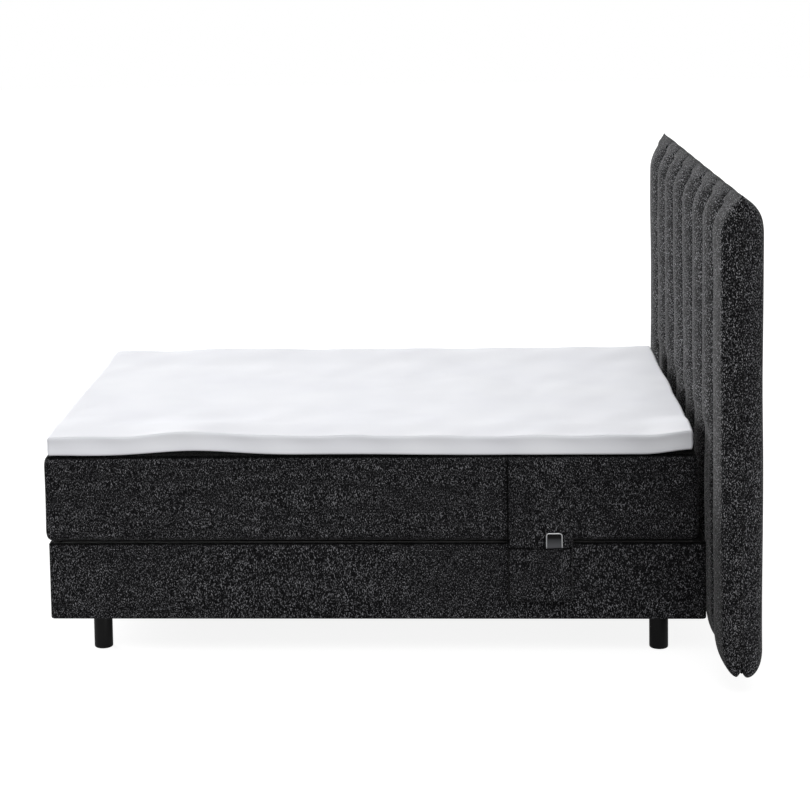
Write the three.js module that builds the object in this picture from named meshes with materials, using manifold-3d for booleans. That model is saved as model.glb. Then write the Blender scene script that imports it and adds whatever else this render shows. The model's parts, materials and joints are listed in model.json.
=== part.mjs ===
// Adjustable box spring bed: upholstered base, hinged mattress platform, lifting gear and headboard.
// Millimetres, +Z up. X runs from the foot end to the head end, and -Y is the near long side.
import * as THREE from 'three';
import { mergeVertices } from 'three/addons/utils/BufferGeometryUtils.js';
import Module from 'manifold-3d';

const wasm = await Module();
wasm.setup();

// Driving dimensions of the bed
const bedWidth = 1400;
const baseLength = 2040;
const legHeight = 120;
const baseHeight = 240;
const shadowGap = 8;
const mattressHeight = 270;
const topperHeight = 66;
const kneeShare = 0.269607843;
const seatStartShare = 0.465686275;
const seatEndShare = 0.612745098;
const headLiftDegrees = 55;
const thighLiftDegrees = 28;

// Hinge places along the bed, from its foot end
const kneeFromFoot = baseLength * kneeShare;
const seatStart = baseLength * seatStartShare;
const seatEnd = baseLength * seatEndShare;

// Clearances and overruns
const gap = 0.3;
const runningGap = 0.4;
const cutOverrun = 2;

// Base box
const coverThickness = 10;
const railThickness = 25;
const bearerWidth = 40;
const bearerHeight = 40;
const footBearerInset = 70;
const headBearerInset = 70;
const seatBearerInset = 25;
const blockSide = 130;
const blockHeight = 60;
const liningThickness = 3;
const liningMargin = 12;

// Legs
const legDiameter = 56;
const legFootInset = 147;
const legHeadInset = 135;
const legSideInset = 100;
const legEdgeRadius = 6;
const legStudDiameter = 10;
const legStudLength = 40;

// Platform decks and their hinges
const deckThickness = 16;
const deckSideGap = 10;
const deckEndInset = 45;
const deckHingeSetback = 8;
const hingePinRadius = 4;
const hingeLugRadius = 7.4;
const hingeLugWidth = 60;
const hingeLugPlacesShare = [-0.72, -0.24, 0.24, 0.72];
const hingeLugGap = 4;

// Mattress and topper
const mattressFootOverhang = 12;
const mattressHeadInset = 20;
const mattressCorner = 26;
const mattressSideDraw = 7;
const topperFootInset = 2;
const topperHeadInset = 38;
const topperSideInset = 2;
const topperCorner = 20;
const topperSideDraw = 3;
const foldSpareDegrees = 1;
const foldClearance = 1;
const kneeGap = 1;

// Lifting gear
const tubeRadius = 15;
const tubeDrop = 135;
const headTubeShare = 0.177215190;
const headArmShare = 0.417721519;
const footTubeShare = 0.225;
const footArmShare = 0.575;
const headTubeOffset = (baseLength - seatEnd) * headTubeShare;
const headArmLength = (baseLength - seatEnd) * headArmShare;
const footTubeOffset = (seatStart - kneeFromFoot) * footTubeShare;
const footArmLength = (seatStart - kneeFromFoot) * footArmShare;
const rollerDrop = 65;
const rollerRadius = 22;
const rollerWidth = 20;
const rollerPlace = 420;
const axleRadius = 5;
const armThickness = 8;
const armWidth = 30;
const trackWidth = 24;
const trackSteps = 12;
const trackRunOff = 30;
const trackSlopeStep = 0.01;
const trackTieWidth = 40;
const trackTieThickness = 10;
const tubePlateThickness = 5;
const tubePlateHeight = 70;
const tubePlateMargin = 40;

// Parallel control arms of the calf section
const controlArmDrop = 75;
const controlArmPlace = 520;
const controlArmThickness = 6;
const controlArmWidth = 24;
const controlPinRadius = 5;
const openPivotGap = 1.5;
const controlRodRadius = 7;
const controlRodShare = 0.1;
const controlLugTop = 30;

// Drive unit
const leverLength = 60;
const leverThickness = 6;
const leverWidth = 19;
const leverTipRadius = 8;
const leverPlace = 18;
const housingWidth = 96;
const housingWall = 4;
const housingFloorHeight = 140;
const housingTopHeight = 252;
const housingEndMargin = 70;
const tubeSlotGap = 0.4;
const blockGap = 1.8;
const thrustBlockLength = 30;
const thrustBlockWidth = 50;
const thrustBlockBottom = 150;
const thrustBlockTop = 170;
const spindleRadius = 6;
const spindleHeight = 161;
const motorLength = 110;
const motorHeight = 70;
const motorWidth = 76;

// Headboard
const channelCount = 8;
const channelWidth = 275;
const headboardBottom = 85;
const headboardTop = 1475;
const frontPadDepth = 47;
const backPadDepth = 46;
const coreThickness = 14;
const coreInset = 34;
const headboardGap = 5;
const channelDepth = 20;
const channelColumns = 6;
const frontPadRows = 18;
const backPadColumns = 16;
const backPadRows = 14;
const rowEaseShare = 0.6;
const padTopRound = 140;
const backTopRound = 125;
const ridgePower = 2;
const padBottomRound = 50;
const padSideRound = 32;
const bracketHalf = 520;
const bracketHeight = 90;
const bracketBottom = 210;

// Side flap, pocket and hand control
const flapStart = 1422;
const flapWidth = 206;
const flapThickness = 3;
const flapBottom = 180;
const flapTopDrop = 24;
const pocketHeight = 174;
const pocketDepth = 18;
const pocketWall = 3;
const controlFromFlapEnd = 27;
const controlWidth = 51;
const controlLength = 214;
const controlDepth = 13;
const controlCorner = 7;
const controlPlay = 1.5;
const keyWidth = 16;
const keyHeight = 34;
const keyThickness = 3.6;
const keyProud = 1.2;
const keyFromTop = 62;
const keyPitch = 22;
const keyWellGap = 0.5;
const keyTiltDegrees = 3;

// Heights and places that follow from the sizes above
const baseTop = legHeight + baseHeight;
const deckTop = baseTop + shadowGap;
const deckBottom = deckTop - deckThickness;
const hingeHeight = deckTop - deckThickness / 2;
const mattressTop = deckTop + mattressHeight;
const topperTop = mattressTop + topperHeight;
const halfWidth = bedWidth / 2;
const railOuter = halfWidth - coverThickness;
const railInner = railOuter - railThickness;
const deckHalf = railInner - deckSideGap;
const headboardFront = baseLength + headboardGap;
const headboardBack = headboardFront + frontPadDepth + coreThickness + backPadDepth;
const middleX = (headboardBack - mattressFootOverhang) / 2;

// Sides of the faceted round parts, steps of a rounded corner, and how far past the bed a cut reaches
const tubeSides = 24;
const pinSides = 16;
const legSides = 28;
const cornerSteps = 4;
const farSpan = 2;

const radians = (degrees) => THREE.MathUtils.degToRad(degrees);
const bed = new THREE.Group();
bed.position.x = -middleX;

// Materials: colour, roughness, metalness
const tweed = [0x232324, 0.95, 0];
const ticking = [0xe9ebef, 0.9, 0];
const timber = [0xc9a878, 0.7, 0];
const plywood = [0xb98f5c, 0.7, 0];
const blackPaint = [0x18191b, 0.45, 0.3];
const steel = [0x8c9094, 0.4, 0.8];
const blackPlastic = [0x202123, 0.5, 0];
const nylon = [0xd8d8d2, 0.5, 0];
const liningCloth = [0x1c1c1d, 0.98, 0];
const controlPlastic = [0x2c2d30, 0.3, 0];

function toSolid(geometry) {
  const plain = geometry.clone();
  plain.deleteAttribute('normal');
  plain.deleteAttribute('uv');
  const merged = mergeVertices(plain.index ? plain : mergeVertices(plain), 1e-4);
  return new wasm.Manifold(new wasm.Mesh({
    numProp: 3,
    vertProperties: new Float32Array(merged.attributes.position.array),
    triVerts: new Uint32Array(merged.index.array),
  }));
}

function toGeometry(solid) {
  const mesh = solid.getMesh();
  const geometry = new THREE.BufferGeometry();
  const places = new Float32Array(mesh.numVert * 3);
  for (let i = 0; i < mesh.numVert; i += 1) {
    for (let k = 0; k < 3; k += 1) places[3 * i + k] = mesh.vertProperties[mesh.numProp * i + k];
  }
  geometry.setAttribute('position', new THREE.BufferAttribute(places, 3));
  geometry.setIndex(new THREE.BufferAttribute(new Uint32Array(mesh.triVerts), 1));
  geometry.computeVertexNormals();
  return geometry;
}

function piece(name, shape, [color, roughness, metalness]) {
  const geometry = shape.isBufferGeometry ? shape : toGeometry(shape);
  const mesh = new THREE.Mesh(geometry, new THREE.MeshStandardMaterial({ color, roughness, metalness }));
  mesh.name = name;
  bed.add(mesh);
  return mesh;
}

// A box between two corners
function boxAt([x0, y0, z0], [x1, y1, z1]) {
  const box = new THREE.BoxGeometry(x1 - x0, y1 - y0, z1 - z0);
  return box.translate((x0 + x1) / 2, (y0 + y1) / 2, (z0 + z1) / 2);
}

// A cylinder along Y through (x, z), from y0 to y1
function rodAlongY(x, z, radius, y0, y1, sides = 20) {
  const rod = new THREE.CylinderGeometry(radius, radius, y1 - y0, sides);
  return rod.translate(x, (y0 + y1) / 2, z);
}

function rodAlongX(y, z, radius, x0, x1, sides = 20) {
  const rod = new THREE.CylinderGeometry(radius, radius, x1 - x0, sides);
  return rod.rotateZ(Math.PI / 2).translate((x0 + x1) / 2, y, z);
}

// An outline in the X-Z plane, given thickness from y0 to y1
function plateAlongY(points, y0, y1) {
  const shape = new THREE.Shape(points.map(([x, z]) => new THREE.Vector2(x, z)));
  const plate = new THREE.ExtrudeGeometry(shape, { depth: y1 - y0, bevelEnabled: false });
  return plate.rotateX(Math.PI / 2).translate(0, y1, 0);
}

// The outline round two circles: a straight bar with round ends from (xa, za) to (xb, zb)
function barOutline([xa, za], [xb, zb], ra, rb, arcSteps = 6) {
  const along = Math.atan2(zb - za, xb - xa);
  const points = [];
  for (let i = 0; i <= arcSteps; i += 1) {
    const turn = along - Math.PI / 2 + (Math.PI * i) / arcSteps;
    points.push([xb + rb * Math.cos(turn), zb + rb * Math.sin(turn)]);
  }
  for (let i = 0; i <= arcSteps; i += 1) {
    const turn = along + Math.PI / 2 + (Math.PI * i) / arcSteps;
    points.push([xa + ra * Math.cos(turn), za + ra * Math.sin(turn)]);
  }
  return points;
}

const joined = (parts) => parts.map(toSolid).reduce((whole, part) => whole.add(part));
const cutBy = (solid, cutters) => cutters.reduce((left, cutter) => left.subtract(toSolid(cutter)), solid);

// Base box: rails, bearers, corner blocks, covers and lining
const railX0 = coverThickness;
const railX1 = baseLength - coverThickness;
const railZ0 = legHeight + liningThickness + gap;

function buildRails() {
  for (const [side, name] of [[-1, 'right'], [1, 'left']]) {
    const y = [side * railOuter, side * railInner].sort((a, b) => a - b);
    const long = boxAt([railX0, y[0], railZ0], [railX1, y[1], baseTop]);
    piece(`base_rail_${name}`, long, timber);
    const cover = [side * halfWidth, side * (railOuter + gap)].sort((a, b) => a - b);
    piece(`base_cover_${name}`, boxAt([0, cover[0], legHeight], [baseLength, cover[1], baseTop]), tweed);
  }
  const across = railInner - gap;
  piece('base_rail_foot', boxAt([railX0, -across, railZ0],
    [railX0 + railThickness, across, baseTop]), timber);
  piece('base_rail_head', boxAt([railX1 - railThickness, -across, railZ0],
    [railX1, across, baseTop]), timber);
  const coverHalf = railOuter;
  piece('base_cover_foot', boxAt([0, -coverHalf, legHeight], [railX0 - gap, coverHalf, baseTop]), tweed);
  piece('base_cover_head',
    boxAt([railX1 + gap, -coverHalf, legHeight], [baseLength, coverHalf, baseTop]), tweed);
}

const bearerPlaces = {
  foot: footBearerInset,
  seat_foot: seatStart + seatBearerInset,
  seat_head: seatEnd - seatBearerInset - bearerWidth,
  head: railX1 - headBearerInset - bearerWidth,
};

function buildBearers() {
  const across = railInner - gap;
  const top = deckBottom - gap;
  for (const [name, x] of Object.entries(bearerPlaces)) {
    const low = top - bearerHeight;
    const bearer = boxAt([x, -across, low], [x + bearerWidth, across, top]);
    if (name !== 'seat_foot') {
      piece(`bearer_${name}`, bearer, timber);
      continue;
    }
    // Steel lugs under this bearer hold the fixed pins of the control arms
    const pinZ = hingeHeight - controlArmDrop;
    const parts = [bearer];
    for (const side of [-1, 1]) {
      const inner = side * (controlArmPlace + controlArmThickness / 2 + runningGap);
      const outer = inner + side * controlArmThickness;
      const y = [inner, outer].sort((a, b) => a - b);
      parts.push(plateAlongY([
        [seatStart - controlArmWidth / 2, pinZ - controlArmWidth / 2],
        [seatStart + controlArmWidth / 2, pinZ - controlArmWidth / 2],
        [x + bearerWidth / 2, low + controlLugTop / 2],
        [x, low + controlLugTop / 2],
        [seatStart - controlArmWidth / 2, pinZ + controlArmWidth / 2],
      ], y[0], y[1]));
      const armInner = side * (controlArmPlace - controlArmThickness / 2 - gap);
      const pin = [armInner, outer].sort((a, b) => a - b);
      parts.push(rodAlongY(seatStart, pinZ, controlPinRadius, pin[0], pin[1], pinSides));
    }
    piece('bearer_seat_foot', joined(parts), timber);
  }
}

const legPlaces = [
  ['foot_right', legFootInset, -(halfWidth - legSideInset)],
  ['foot_left', legFootInset, halfWidth - legSideInset],
  ['head_right', baseLength - legHeadInset, -(halfWidth - legSideInset)],
  ['head_left', baseLength - legHeadInset, halfWidth - legSideInset],
];

function buildLegs() {
  const r = legDiameter / 2;
  const stud = legStudDiameter / 2;
  const studTop = legHeight + legStudLength;
  const top = legHeight - gap;
  const edge = legEdgeRadius;
  const half = Math.SQRT1_2;
  const profile = [
    [0, 0], [r - edge, 0], [r - edge + edge * half, edge - edge * half], [r, edge],
    [r, top], [stud, top], [stud, studTop], [0, studTop],
  ].map(([x, y]) => new THREE.Vector2(x, y));
  for (const [name, x, y] of legPlaces) {
    const leg = new THREE.LatheGeometry(profile, legSides).rotateX(Math.PI / 2);
    piece(`leg_${name}`, leg.translate(x, y, 0), blackPaint);
    // Corner block that the leg's stud screws into, tight in the corner of the rails
    const alongX = x < baseLength / 2
      ? [railX0 + railThickness + gap, x + blockSide / 2]
      : [x - blockSide / 2, railX1 - railThickness - gap];
    const sideY = Math.sign(y) * (railInner - gap);
    const innerY = y - (Math.sign(y) * blockSide) / 2;
    const ys = [sideY, innerY].sort((a, b) => a - b);
    const block = boxAt([alongX[0], ys[0], railZ0], [alongX[1], ys[1], railZ0 + blockHeight]);
    const hole = new THREE.CylinderGeometry(stud + gap, stud + gap, blockHeight * 2 + cutOverrun, pinSides);
    hole.rotateX(Math.PI / 2).translate(x, y, railZ0);
    piece(`corner_block_${name}`, cutBy(toSolid(block), [hole]), timber);
  }
}

function buildLining() {
  const half = railOuter - liningMargin;
  const sheet = boxAt([railX0 + liningMargin, -half, legHeight],
    [railX1 - liningMargin, half, legHeight + liningThickness]);
  const stud = legStudDiameter / 2 + gap;
  const holes = legPlaces.map(([, x, y]) => {
    const hole = new THREE.CylinderGeometry(stud, stud, blockHeight, pinSides);
    return hole.rotateX(Math.PI / 2).translate(x, y, legHeight);
  });
  piece('bottom_lining', cutBy(toSolid(sheet), holes), liningCloth);
}

// Platform decks. Neighbouring decks carry alternate lugs on one pin.
const lugSpan = 0.5;
function lugPlaces(shift) {
  return hingeLugPlacesShare.map((share) => share * deckHalf + shift * (hingeLugWidth + hingeLugGap));
}

// The deck between x0 and x1. A pin fixed in this deck's own lugs, and brackets, are added as extras.
function deckSolid(x0, x1, hingeAtStart, hingeAtEnd, extras = [], fixedPinAt = null) {
  const start = hingeAtStart ? x0 + deckHingeSetback : x0;
  const end = hingeAtEnd ? x1 - deckHingeSetback : x1;
  const parts = [boxAt([start, -deckHalf, deckBottom], [end, deckHalf, deckTop - gap])];
  const bores = [];
  for (const [at, hinged, shift, inward] of [[x0, hingeAtStart, -lugSpan, 1], [x1, hingeAtEnd, lugSpan, -1]]) {
    if (!hinged) continue;
    for (const y of lugPlaces(shift)) {
      const y0 = y - hingeLugWidth / 2;
      const y1 = y + hingeLugWidth / 2;
      parts.push(rodAlongY(at, hingeHeight, hingeLugRadius, y0, y1, pinSides));
      const reach = [at, at + inward * (deckHingeSetback + cutOverrun)].sort((a, b) => a - b);
      const thick = hingeLugRadius;
      parts.push(boxAt([reach[0], y0, hingeHeight - thick], [reach[1], y1, hingeHeight + thick]));
    }
    if (at === fixedPinAt) continue;
    bores.push(rodAlongY(at, hingeHeight, hingePinRadius + runningGap / 2,
      -deckHalf - cutOverrun, deckHalf + cutOverrun, pinSides));
  }
  return extras.map(toSolid).reduce((whole, extra) => whole.add(extra), cutBy(joined(parts), bores));
}

const pinRod = (x) => rodAlongY(x, hingeHeight, hingePinRadius, -deckHalf, deckHalf, pinSides);

function calfBrackets() {
  const pinZ = hingeHeight - controlArmDrop;
  const reach = controlArmWidth / 2;
  const parts = [];
  for (const side of [-1, 1]) {
    const inner = side * (controlArmPlace + controlArmThickness / 2 + runningGap);
    const outer = inner + side * controlArmThickness;
    const y = [inner, outer].sort((a, b) => a - b);
    parts.push(plateAlongY([
      [kneeFromFoot - controlArmDrop - reach, deckBottom + cutOverrun],
      [kneeFromFoot - reach, pinZ - reach],
      [kneeFromFoot + reach, pinZ - reach],
      [kneeFromFoot + reach, pinZ + reach],
      [kneeFromFoot - deckHingeSetback - cutOverrun, deckBottom - reach],
      [kneeFromFoot - deckHingeSetback - cutOverrun, deckBottom + cutOverrun],
    ], y[0], y[1]));
    const armInner = side * (controlArmPlace - controlArmThickness / 2 - gap);
    const pin = [armInner, outer].sort((a, b) => a - b);
    parts.push(rodAlongY(kneeFromFoot, pinZ, controlPinRadius, pin[0], pin[1], pinSides));
  }
  return parts;
}

function buildDecks() {
  piece('calf_deck', deckSolid(deckEndInset, kneeFromFoot, false, true, calfBrackets()), plywood);
  const kneePin = [pinRod(kneeFromFoot)];
  piece('thigh_deck', deckSolid(kneeFromFoot, seatStart, true, true, kneePin, kneeFromFoot), plywood);
  piece('seat_deck', deckSolid(seatStart, seatEnd, true, true), plywood);
  piece('head_deck', deckSolid(seatEnd, baseLength - deckEndInset, true, false), plywood);
  piece('thigh_hinge_pin', pinRod(seatStart), steel);
  piece('head_hinge_pin', pinRod(seatEnd), steel);
}

// A padded slab section: corners rounded, sides drawn in between their rolled edges
function slabSection(half, z0, z1, corner, draw, steps = 4) {
  const points = [];
  const height = z1 - z0;
  const arc = (cy, cz, from) => {
    for (let i = 0; i <= steps; i += 1) {
      const turn = from + (Math.PI / 2) * (i / steps);
      points.push([cy + corner * Math.cos(turn), cz + corner * Math.sin(turn)]);
    }
  };
  arc(half - corner, z0 + corner, -Math.PI / 2);
  for (let i = 1; i < steps; i += 1) {
    const t = i / steps;
    points.push([half - draw * Math.sin(Math.PI * t), z0 + corner + (height - 2 * corner) * t]);
  }
  arc(half - corner, z1 - corner, 0);
  arc(corner - half, z1 - corner, Math.PI / 2);
  for (let i = 1; i < steps; i += 1) {
    const t = i / steps;
    points.push([draw * Math.sin(Math.PI * t) - half, z1 - corner - (height - 2 * corner) * t]);
  }
  arc(corner - half, z0 + corner, Math.PI);
  return points;
}

// The slab runs along X, and its two end faces are rolled like its long edges
function slab(x0, x1, half, z0, z1, corner, draw, endSteps = 3) {
  const ring = slabSection(half, z0, z1, corner, draw);
  const midZ = (z0 + z1) / 2;
  const halfHeight = (z1 - z0) / 2;
  const roll = Array.from({ length: endSteps + 1 }, (_, i) => {
    const turn = (Math.PI / 2) * (i / endSteps);
    return { back: corner * (1 - Math.cos(turn)), inset: corner * (1 - Math.sin(turn)) };
  });
  const stations = [
    ...roll.map(({ back, inset }) => [x0 + back, inset]),
    ...roll.slice().reverse().map(({ back, inset }) => [x1 - back, inset]),
  ];
  const places = stations.flatMap(([x, inset]) => ring.flatMap(([y, z]) => (
    [x, y * (1 - inset / half), midZ + (z - midZ) * (1 - inset / halfHeight)])));
  const count = ring.length;
  const index = [];
  for (let s = 0; s + 1 < stations.length; s += 1) {
    for (let i = 0; i < count; i += 1) {
      const a = s * count + i;
      const b = s * count + ((i + 1) % count);
      index.push(a, b, a + count, b, b + count, a + count);
    }
  }
  const first = places.length / 3;
  places.push(x0, 0, midZ, x1, 0, midZ);
  const last = (stations.length - 1) * count;
  for (let i = 0; i < count; i += 1) {
    const j = (i + 1) % count;
    index.push(first, j, i, first + 1, last + i, last + j);
  }
  const geometry = new THREE.BufferGeometry();
  geometry.setAttribute('position', new THREE.Float32BufferAttribute(places, 3));
  geometry.setIndex(index);
  return geometry;
}

// The slanted parting faces open downwards to the hinge, so the sections can fold together
const headCut = radians(headLiftDegrees / 2 + foldSpareDegrees);
const thighCut = radians(thighLiftDegrees / 2 + foldSpareDegrees);

// The space on the foot side (side -1) or head side (side 1) of a slanted plane through a hinge
function beyondCut(hingeX, lean, side, clear) {
  const high = topperTop + cutOverrun;
  const low = hingeHeight;
  const at = (z) => hingeX + side * (Math.tan(lean) * (z - low) + clear);
  const far = hingeX + side * baseLength * farSpan;
  return plateAlongY(side > 0
    ? [[at(low), low], [far, low], [far, high], [at(high), high]]
    : [[far, low], [at(low), low], [at(high), high], [far, high]], -bedWidth, bedWidth);
}

function betweenCuts(hingeX, lean, clear) {
  const high = topperTop + cutOverrun;
  const low = hingeHeight;
  const at = (z, side) => hingeX + side * (Math.tan(lean) * (z - low) + clear);
  return plateAlongY([[at(low, -1), low], [at(low, 1), low], [at(high, 1), high], [at(high, -1), high]],
    -bedWidth, bedWidth);
}

function buildSleepingSurface() {
  const mattress = toSolid(slab(-mattressFootOverhang, baseLength - mattressHeadInset, halfWidth,
    deckTop, mattressTop - gap, mattressCorner, mattressSideDraw));
  const topper = toSolid(slab(topperFootInset, baseLength - topperHeadInset,
    halfWidth - topperSideInset, mattressTop, topperTop, topperCorner, topperSideDraw));
  const knee = (side) => toSolid(boxAt(
    [side > 0 ? kneeFromFoot + kneeGap / 2 : -baseLength, -bedWidth, 0],
    [side > 0 ? baseLength * farSpan : kneeFromFoot - kneeGap / 2, bedWidth, topperTop * farSpan]));
  const half = foldClearance / 2;
  const headSide = toSolid(beyondCut(seatEnd, headCut, 1, foldClearance));
  const seatFromHead = toSolid(beyondCut(seatEnd, headCut, -1, foldClearance));
  const seatFromThigh = toSolid(beyondCut(seatStart, thighCut, 1, foldClearance));
  const thighSide = toSolid(beyondCut(seatStart, thighCut, -1, foldClearance));
  for (const [name, whole, finish] of [['mattress', mattress, tweed], ['topper', topper, ticking]]) {
    piece(`head_${name}`, whole.intersect(headSide), finish);
    piece(`seat_${name}`, whole.intersect(seatFromHead).intersect(seatFromThigh), finish);
    piece(`thigh_${name}`, whole.intersect(thighSide).intersect(knee(1)), finish);
    piece(`calf_${name}`, whole.intersect(knee(-1)), finish);
  }
  // The pieces of padding that give way in the folds
  const padding = mattress.add(topper.translate([0, 0, -gap]));
  piece('head_fold_padding', padding.intersect(toSolid(betweenCuts(seatEnd, headCut, half))), tweed);
  piece('thigh_fold_padding', padding.intersect(toSolid(betweenCuts(seatStart, thighCut, half))), tweed);
}

// Lifting gear. One description serves both ends: way is 1 towards the head, -1 towards the foot.
function liftDescription(way, hingeX, tubeOffset, armLength, maxDegrees) {
  const maxLift = radians(maxDegrees);
  const restTurn = Math.asin((tubeDrop - rollerDrop) / armLength);
  const side = tubeOffset * Math.sin(maxLift) + tubeDrop * Math.cos(maxLift);
  const fullTurn = maxLift - Math.asin((rollerDrop - side) / armLength);
  const ratio = (fullTurn - restTurn) / maxLift;
  // Roller centre in the section's own axes, at a lift: u away from the hinge, v up
  const rollerAt = (lift) => {
    const turn = restTurn + ratio * lift;
    const x = tubeOffset + armLength * Math.cos(turn);
    const z = armLength * Math.sin(turn) - tubeDrop;
    return [x * Math.cos(lift) + z * Math.sin(lift), z * Math.cos(lift) - x * Math.sin(lift)];
  };
  return { way, hingeX, tubeOffset, armLength, maxLift, restTurn, fullTurn, ratio, rollerAt };
}

const headLift = liftDescription(1, seatEnd, headTubeOffset, headArmLength, headLiftDegrees);
const footLift = liftDescription(-1, seatStart, footTubeOffset, footArmLength, thighLiftDegrees);
const tubeZ = hingeHeight - tubeDrop;
const tubeX = (lift) => lift.hingeX + lift.way * lift.tubeOffset;
const leverSwing = (lift) => (lift.fullTurn - lift.restTurn) / 2;

// The track's lower edge runs a roller's radius and a clearance above the roller's path
function trackSolid(lift) {
  const away = rollerRadius + runningGap;
  const edge = Array.from({ length: trackSteps + 1 }, (_, i) => {
    const at = (lift.maxLift * (trackSteps - i)) / trackSteps;
    const [u, v] = lift.rollerAt(at);
    const ahead = lift.rollerAt(at - trackSlopeStep);
    const behind = lift.rollerAt(at + trackSlopeStep);
    const slope = Math.atan2(ahead[1] - behind[1], ahead[0] - behind[0]);
    return { u: u - away * Math.sin(slope), v: v + away * Math.cos(slope), slope };
  });
  // Past the roller's reach the edge runs on straight, along its last slope
  const runOn = ({ u, v, slope }, way) => [u + way * trackRunOff * Math.cos(slope),
    v + way * trackRunOff * Math.sin(slope)];
  const lower = [runOn(edge[0], -1), ...edge.map(({ u, v }) => [u, v]), runOn(edge[trackSteps], 1)];
  const top = -deckThickness / 2 - gap;
  const outline = [...lower, [lower[lower.length - 1][0], top], [lower[0][0], top]]
    .map(([u, v]) => [lift.hingeX + lift.way * u, hingeHeight + v]);
  const parts = [-1, 1].map((side) => {
    const y = side * rollerPlace;
    return plateAlongY(lift.way > 0 ? outline : outline.slice().reverse(),
      y - trackWidth / 2, y + trackWidth / 2);
  });
  // A flat tie joins the two tracks under the deck
  const tieU = lower[lower.length - 1][0] - trackTieWidth;
  const tieX = [lift.hingeX + lift.way * tieU, lift.hingeX + lift.way * (tieU + trackTieWidth)];
  tieX.sort((a, b) => a - b);
  const tieTop = deckBottom - gap;
  parts.push(boxAt([tieX[0], -rollerPlace, tieTop - trackTieThickness], [tieX[1], rollerPlace, tieTop]));
  return joined(parts);
}

// Where the roller's axle is at rest
function axlePlace(lift) {
  const [u, v] = lift.rollerAt(0);
  return [lift.hingeX + lift.way * u, hingeHeight + v];
}

// A tube across the box with two arms, two axles and two levers, welded into one frame
function liftFrame(lift) {
  const x = tubeX(lift);
  const end = railInner - gap;
  const axle = axlePlace(lift);
  const swing = leverSwing(lift);
  const tip = [x - lift.way * leverLength * Math.sin(swing), tubeZ - leverLength * Math.cos(swing)];
  const parts = [rodAlongY(x, tubeZ, tubeRadius, -end, end, tubeSides)];
  for (const side of [-1, 1]) {
    const roller = rollerPlace - rollerWidth / 2 - runningGap;
    const armY = [side * (roller - armThickness), side * roller].sort((a, b) => a - b);
    parts.push(plateAlongY(barOutline([x, tubeZ], axle, armWidth / 2, armWidth / 2), armY[0], armY[1]));
    const axleEnd = rollerPlace + rollerWidth / 2 + runningGap;
    const axleY = [side * (roller - armThickness / 2), side * axleEnd].sort((a, b) => a - b);
    parts.push(rodAlongY(axle[0], axle[1], axleRadius, axleY[0], axleY[1], pinSides));
    const leverY = side * leverPlace;
    parts.push(plateAlongY(barOutline([x, tubeZ], tip, leverWidth / 2, leverTipRadius),
      leverY - leverThickness / 2, leverY + leverThickness / 2));
  }
  return joined(parts);
}

function rollerSolid(lift, side) {
  const [x, z] = axlePlace(lift);
  const y = side * rollerPlace;
  const wheel = toSolid(rodAlongY(x, z, rollerRadius, y - rollerWidth / 2, y + rollerWidth / 2, tubeSides));
  return cutBy(wheel, [rodAlongY(x, z, axleRadius + runningGap / 2,
    y - rollerWidth, y + rollerWidth, pinSides)]);
}

function buildLifts() {
  for (const [end, section, lift] of [['head', 'head', headLift], ['foot', 'thigh', footLift]]) {
    piece(`${section}_track`, trackSolid(lift), steel);
    piece(`${end}_lift_frame`, liftFrame(lift), blackPaint);
    piece(`${end}_roller_right`, rollerSolid(lift, -1), nylon);
    piece(`${end}_roller_left`, rollerSolid(lift, 1), nylon);
  }
  // Side plates on the rails hold the ends of both tubes
  for (const [side, name] of [[-1, 'right'], [1, 'left']]) {
    const outer = side * (railInner - gap);
    const y = [outer, outer - side * tubePlateThickness].sort((a, b) => a - b);
    const plate = toSolid(boxAt([tubeX(footLift) - tubePlateMargin, y[0], tubeZ - tubePlateHeight / 2],
      [tubeX(headLift) + tubePlateMargin, y[1], tubeZ + tubePlateHeight / 2]));
    const holes = [footLift, headLift].map((lift) => (
      rodAlongY(tubeX(lift), tubeZ, tubeRadius + runningGap,
        y[0] - cutOverrun, y[1] + cutOverrun, tubeSides)));
    piece(`tube_plate_${name}`, cutBy(plate, holes), steel);
  }
}

// Control arms run parallel to the thigh section, from the fixed lugs to the calf brackets
function buildControlArms() {
  const pinZ = hingeHeight - controlArmDrop;
  const parts = [];
  const holes = [];
  for (const side of [-1, 1]) {
    const y = side * controlArmPlace;
    const y0 = y - controlArmThickness / 2;
    const y1 = y + controlArmThickness / 2;
    parts.push(plateAlongY(
      barOutline([kneeFromFoot, pinZ], [seatStart, pinZ], controlArmWidth / 2, controlArmWidth / 2), y0, y1));
    holes.push(rodAlongY(seatStart, pinZ, controlPinRadius + runningGap,
      y0 - cutOverrun, y1 + cutOverrun, pinSides));
    holes.push(rodAlongY(kneeFromFoot, pinZ, controlPinRadius + openPivotGap,
      y0 - cutOverrun, y1 + cutOverrun, pinSides));
  }
  const rodX = kneeFromFoot + (seatStart - kneeFromFoot) * controlRodShare;
  parts.push(rodAlongY(rodX, pinZ, controlRodRadius, -controlArmPlace, controlArmPlace, pinSides));
  piece('control_arms', cutBy(joined(parts), holes), blackPaint);
}

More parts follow.
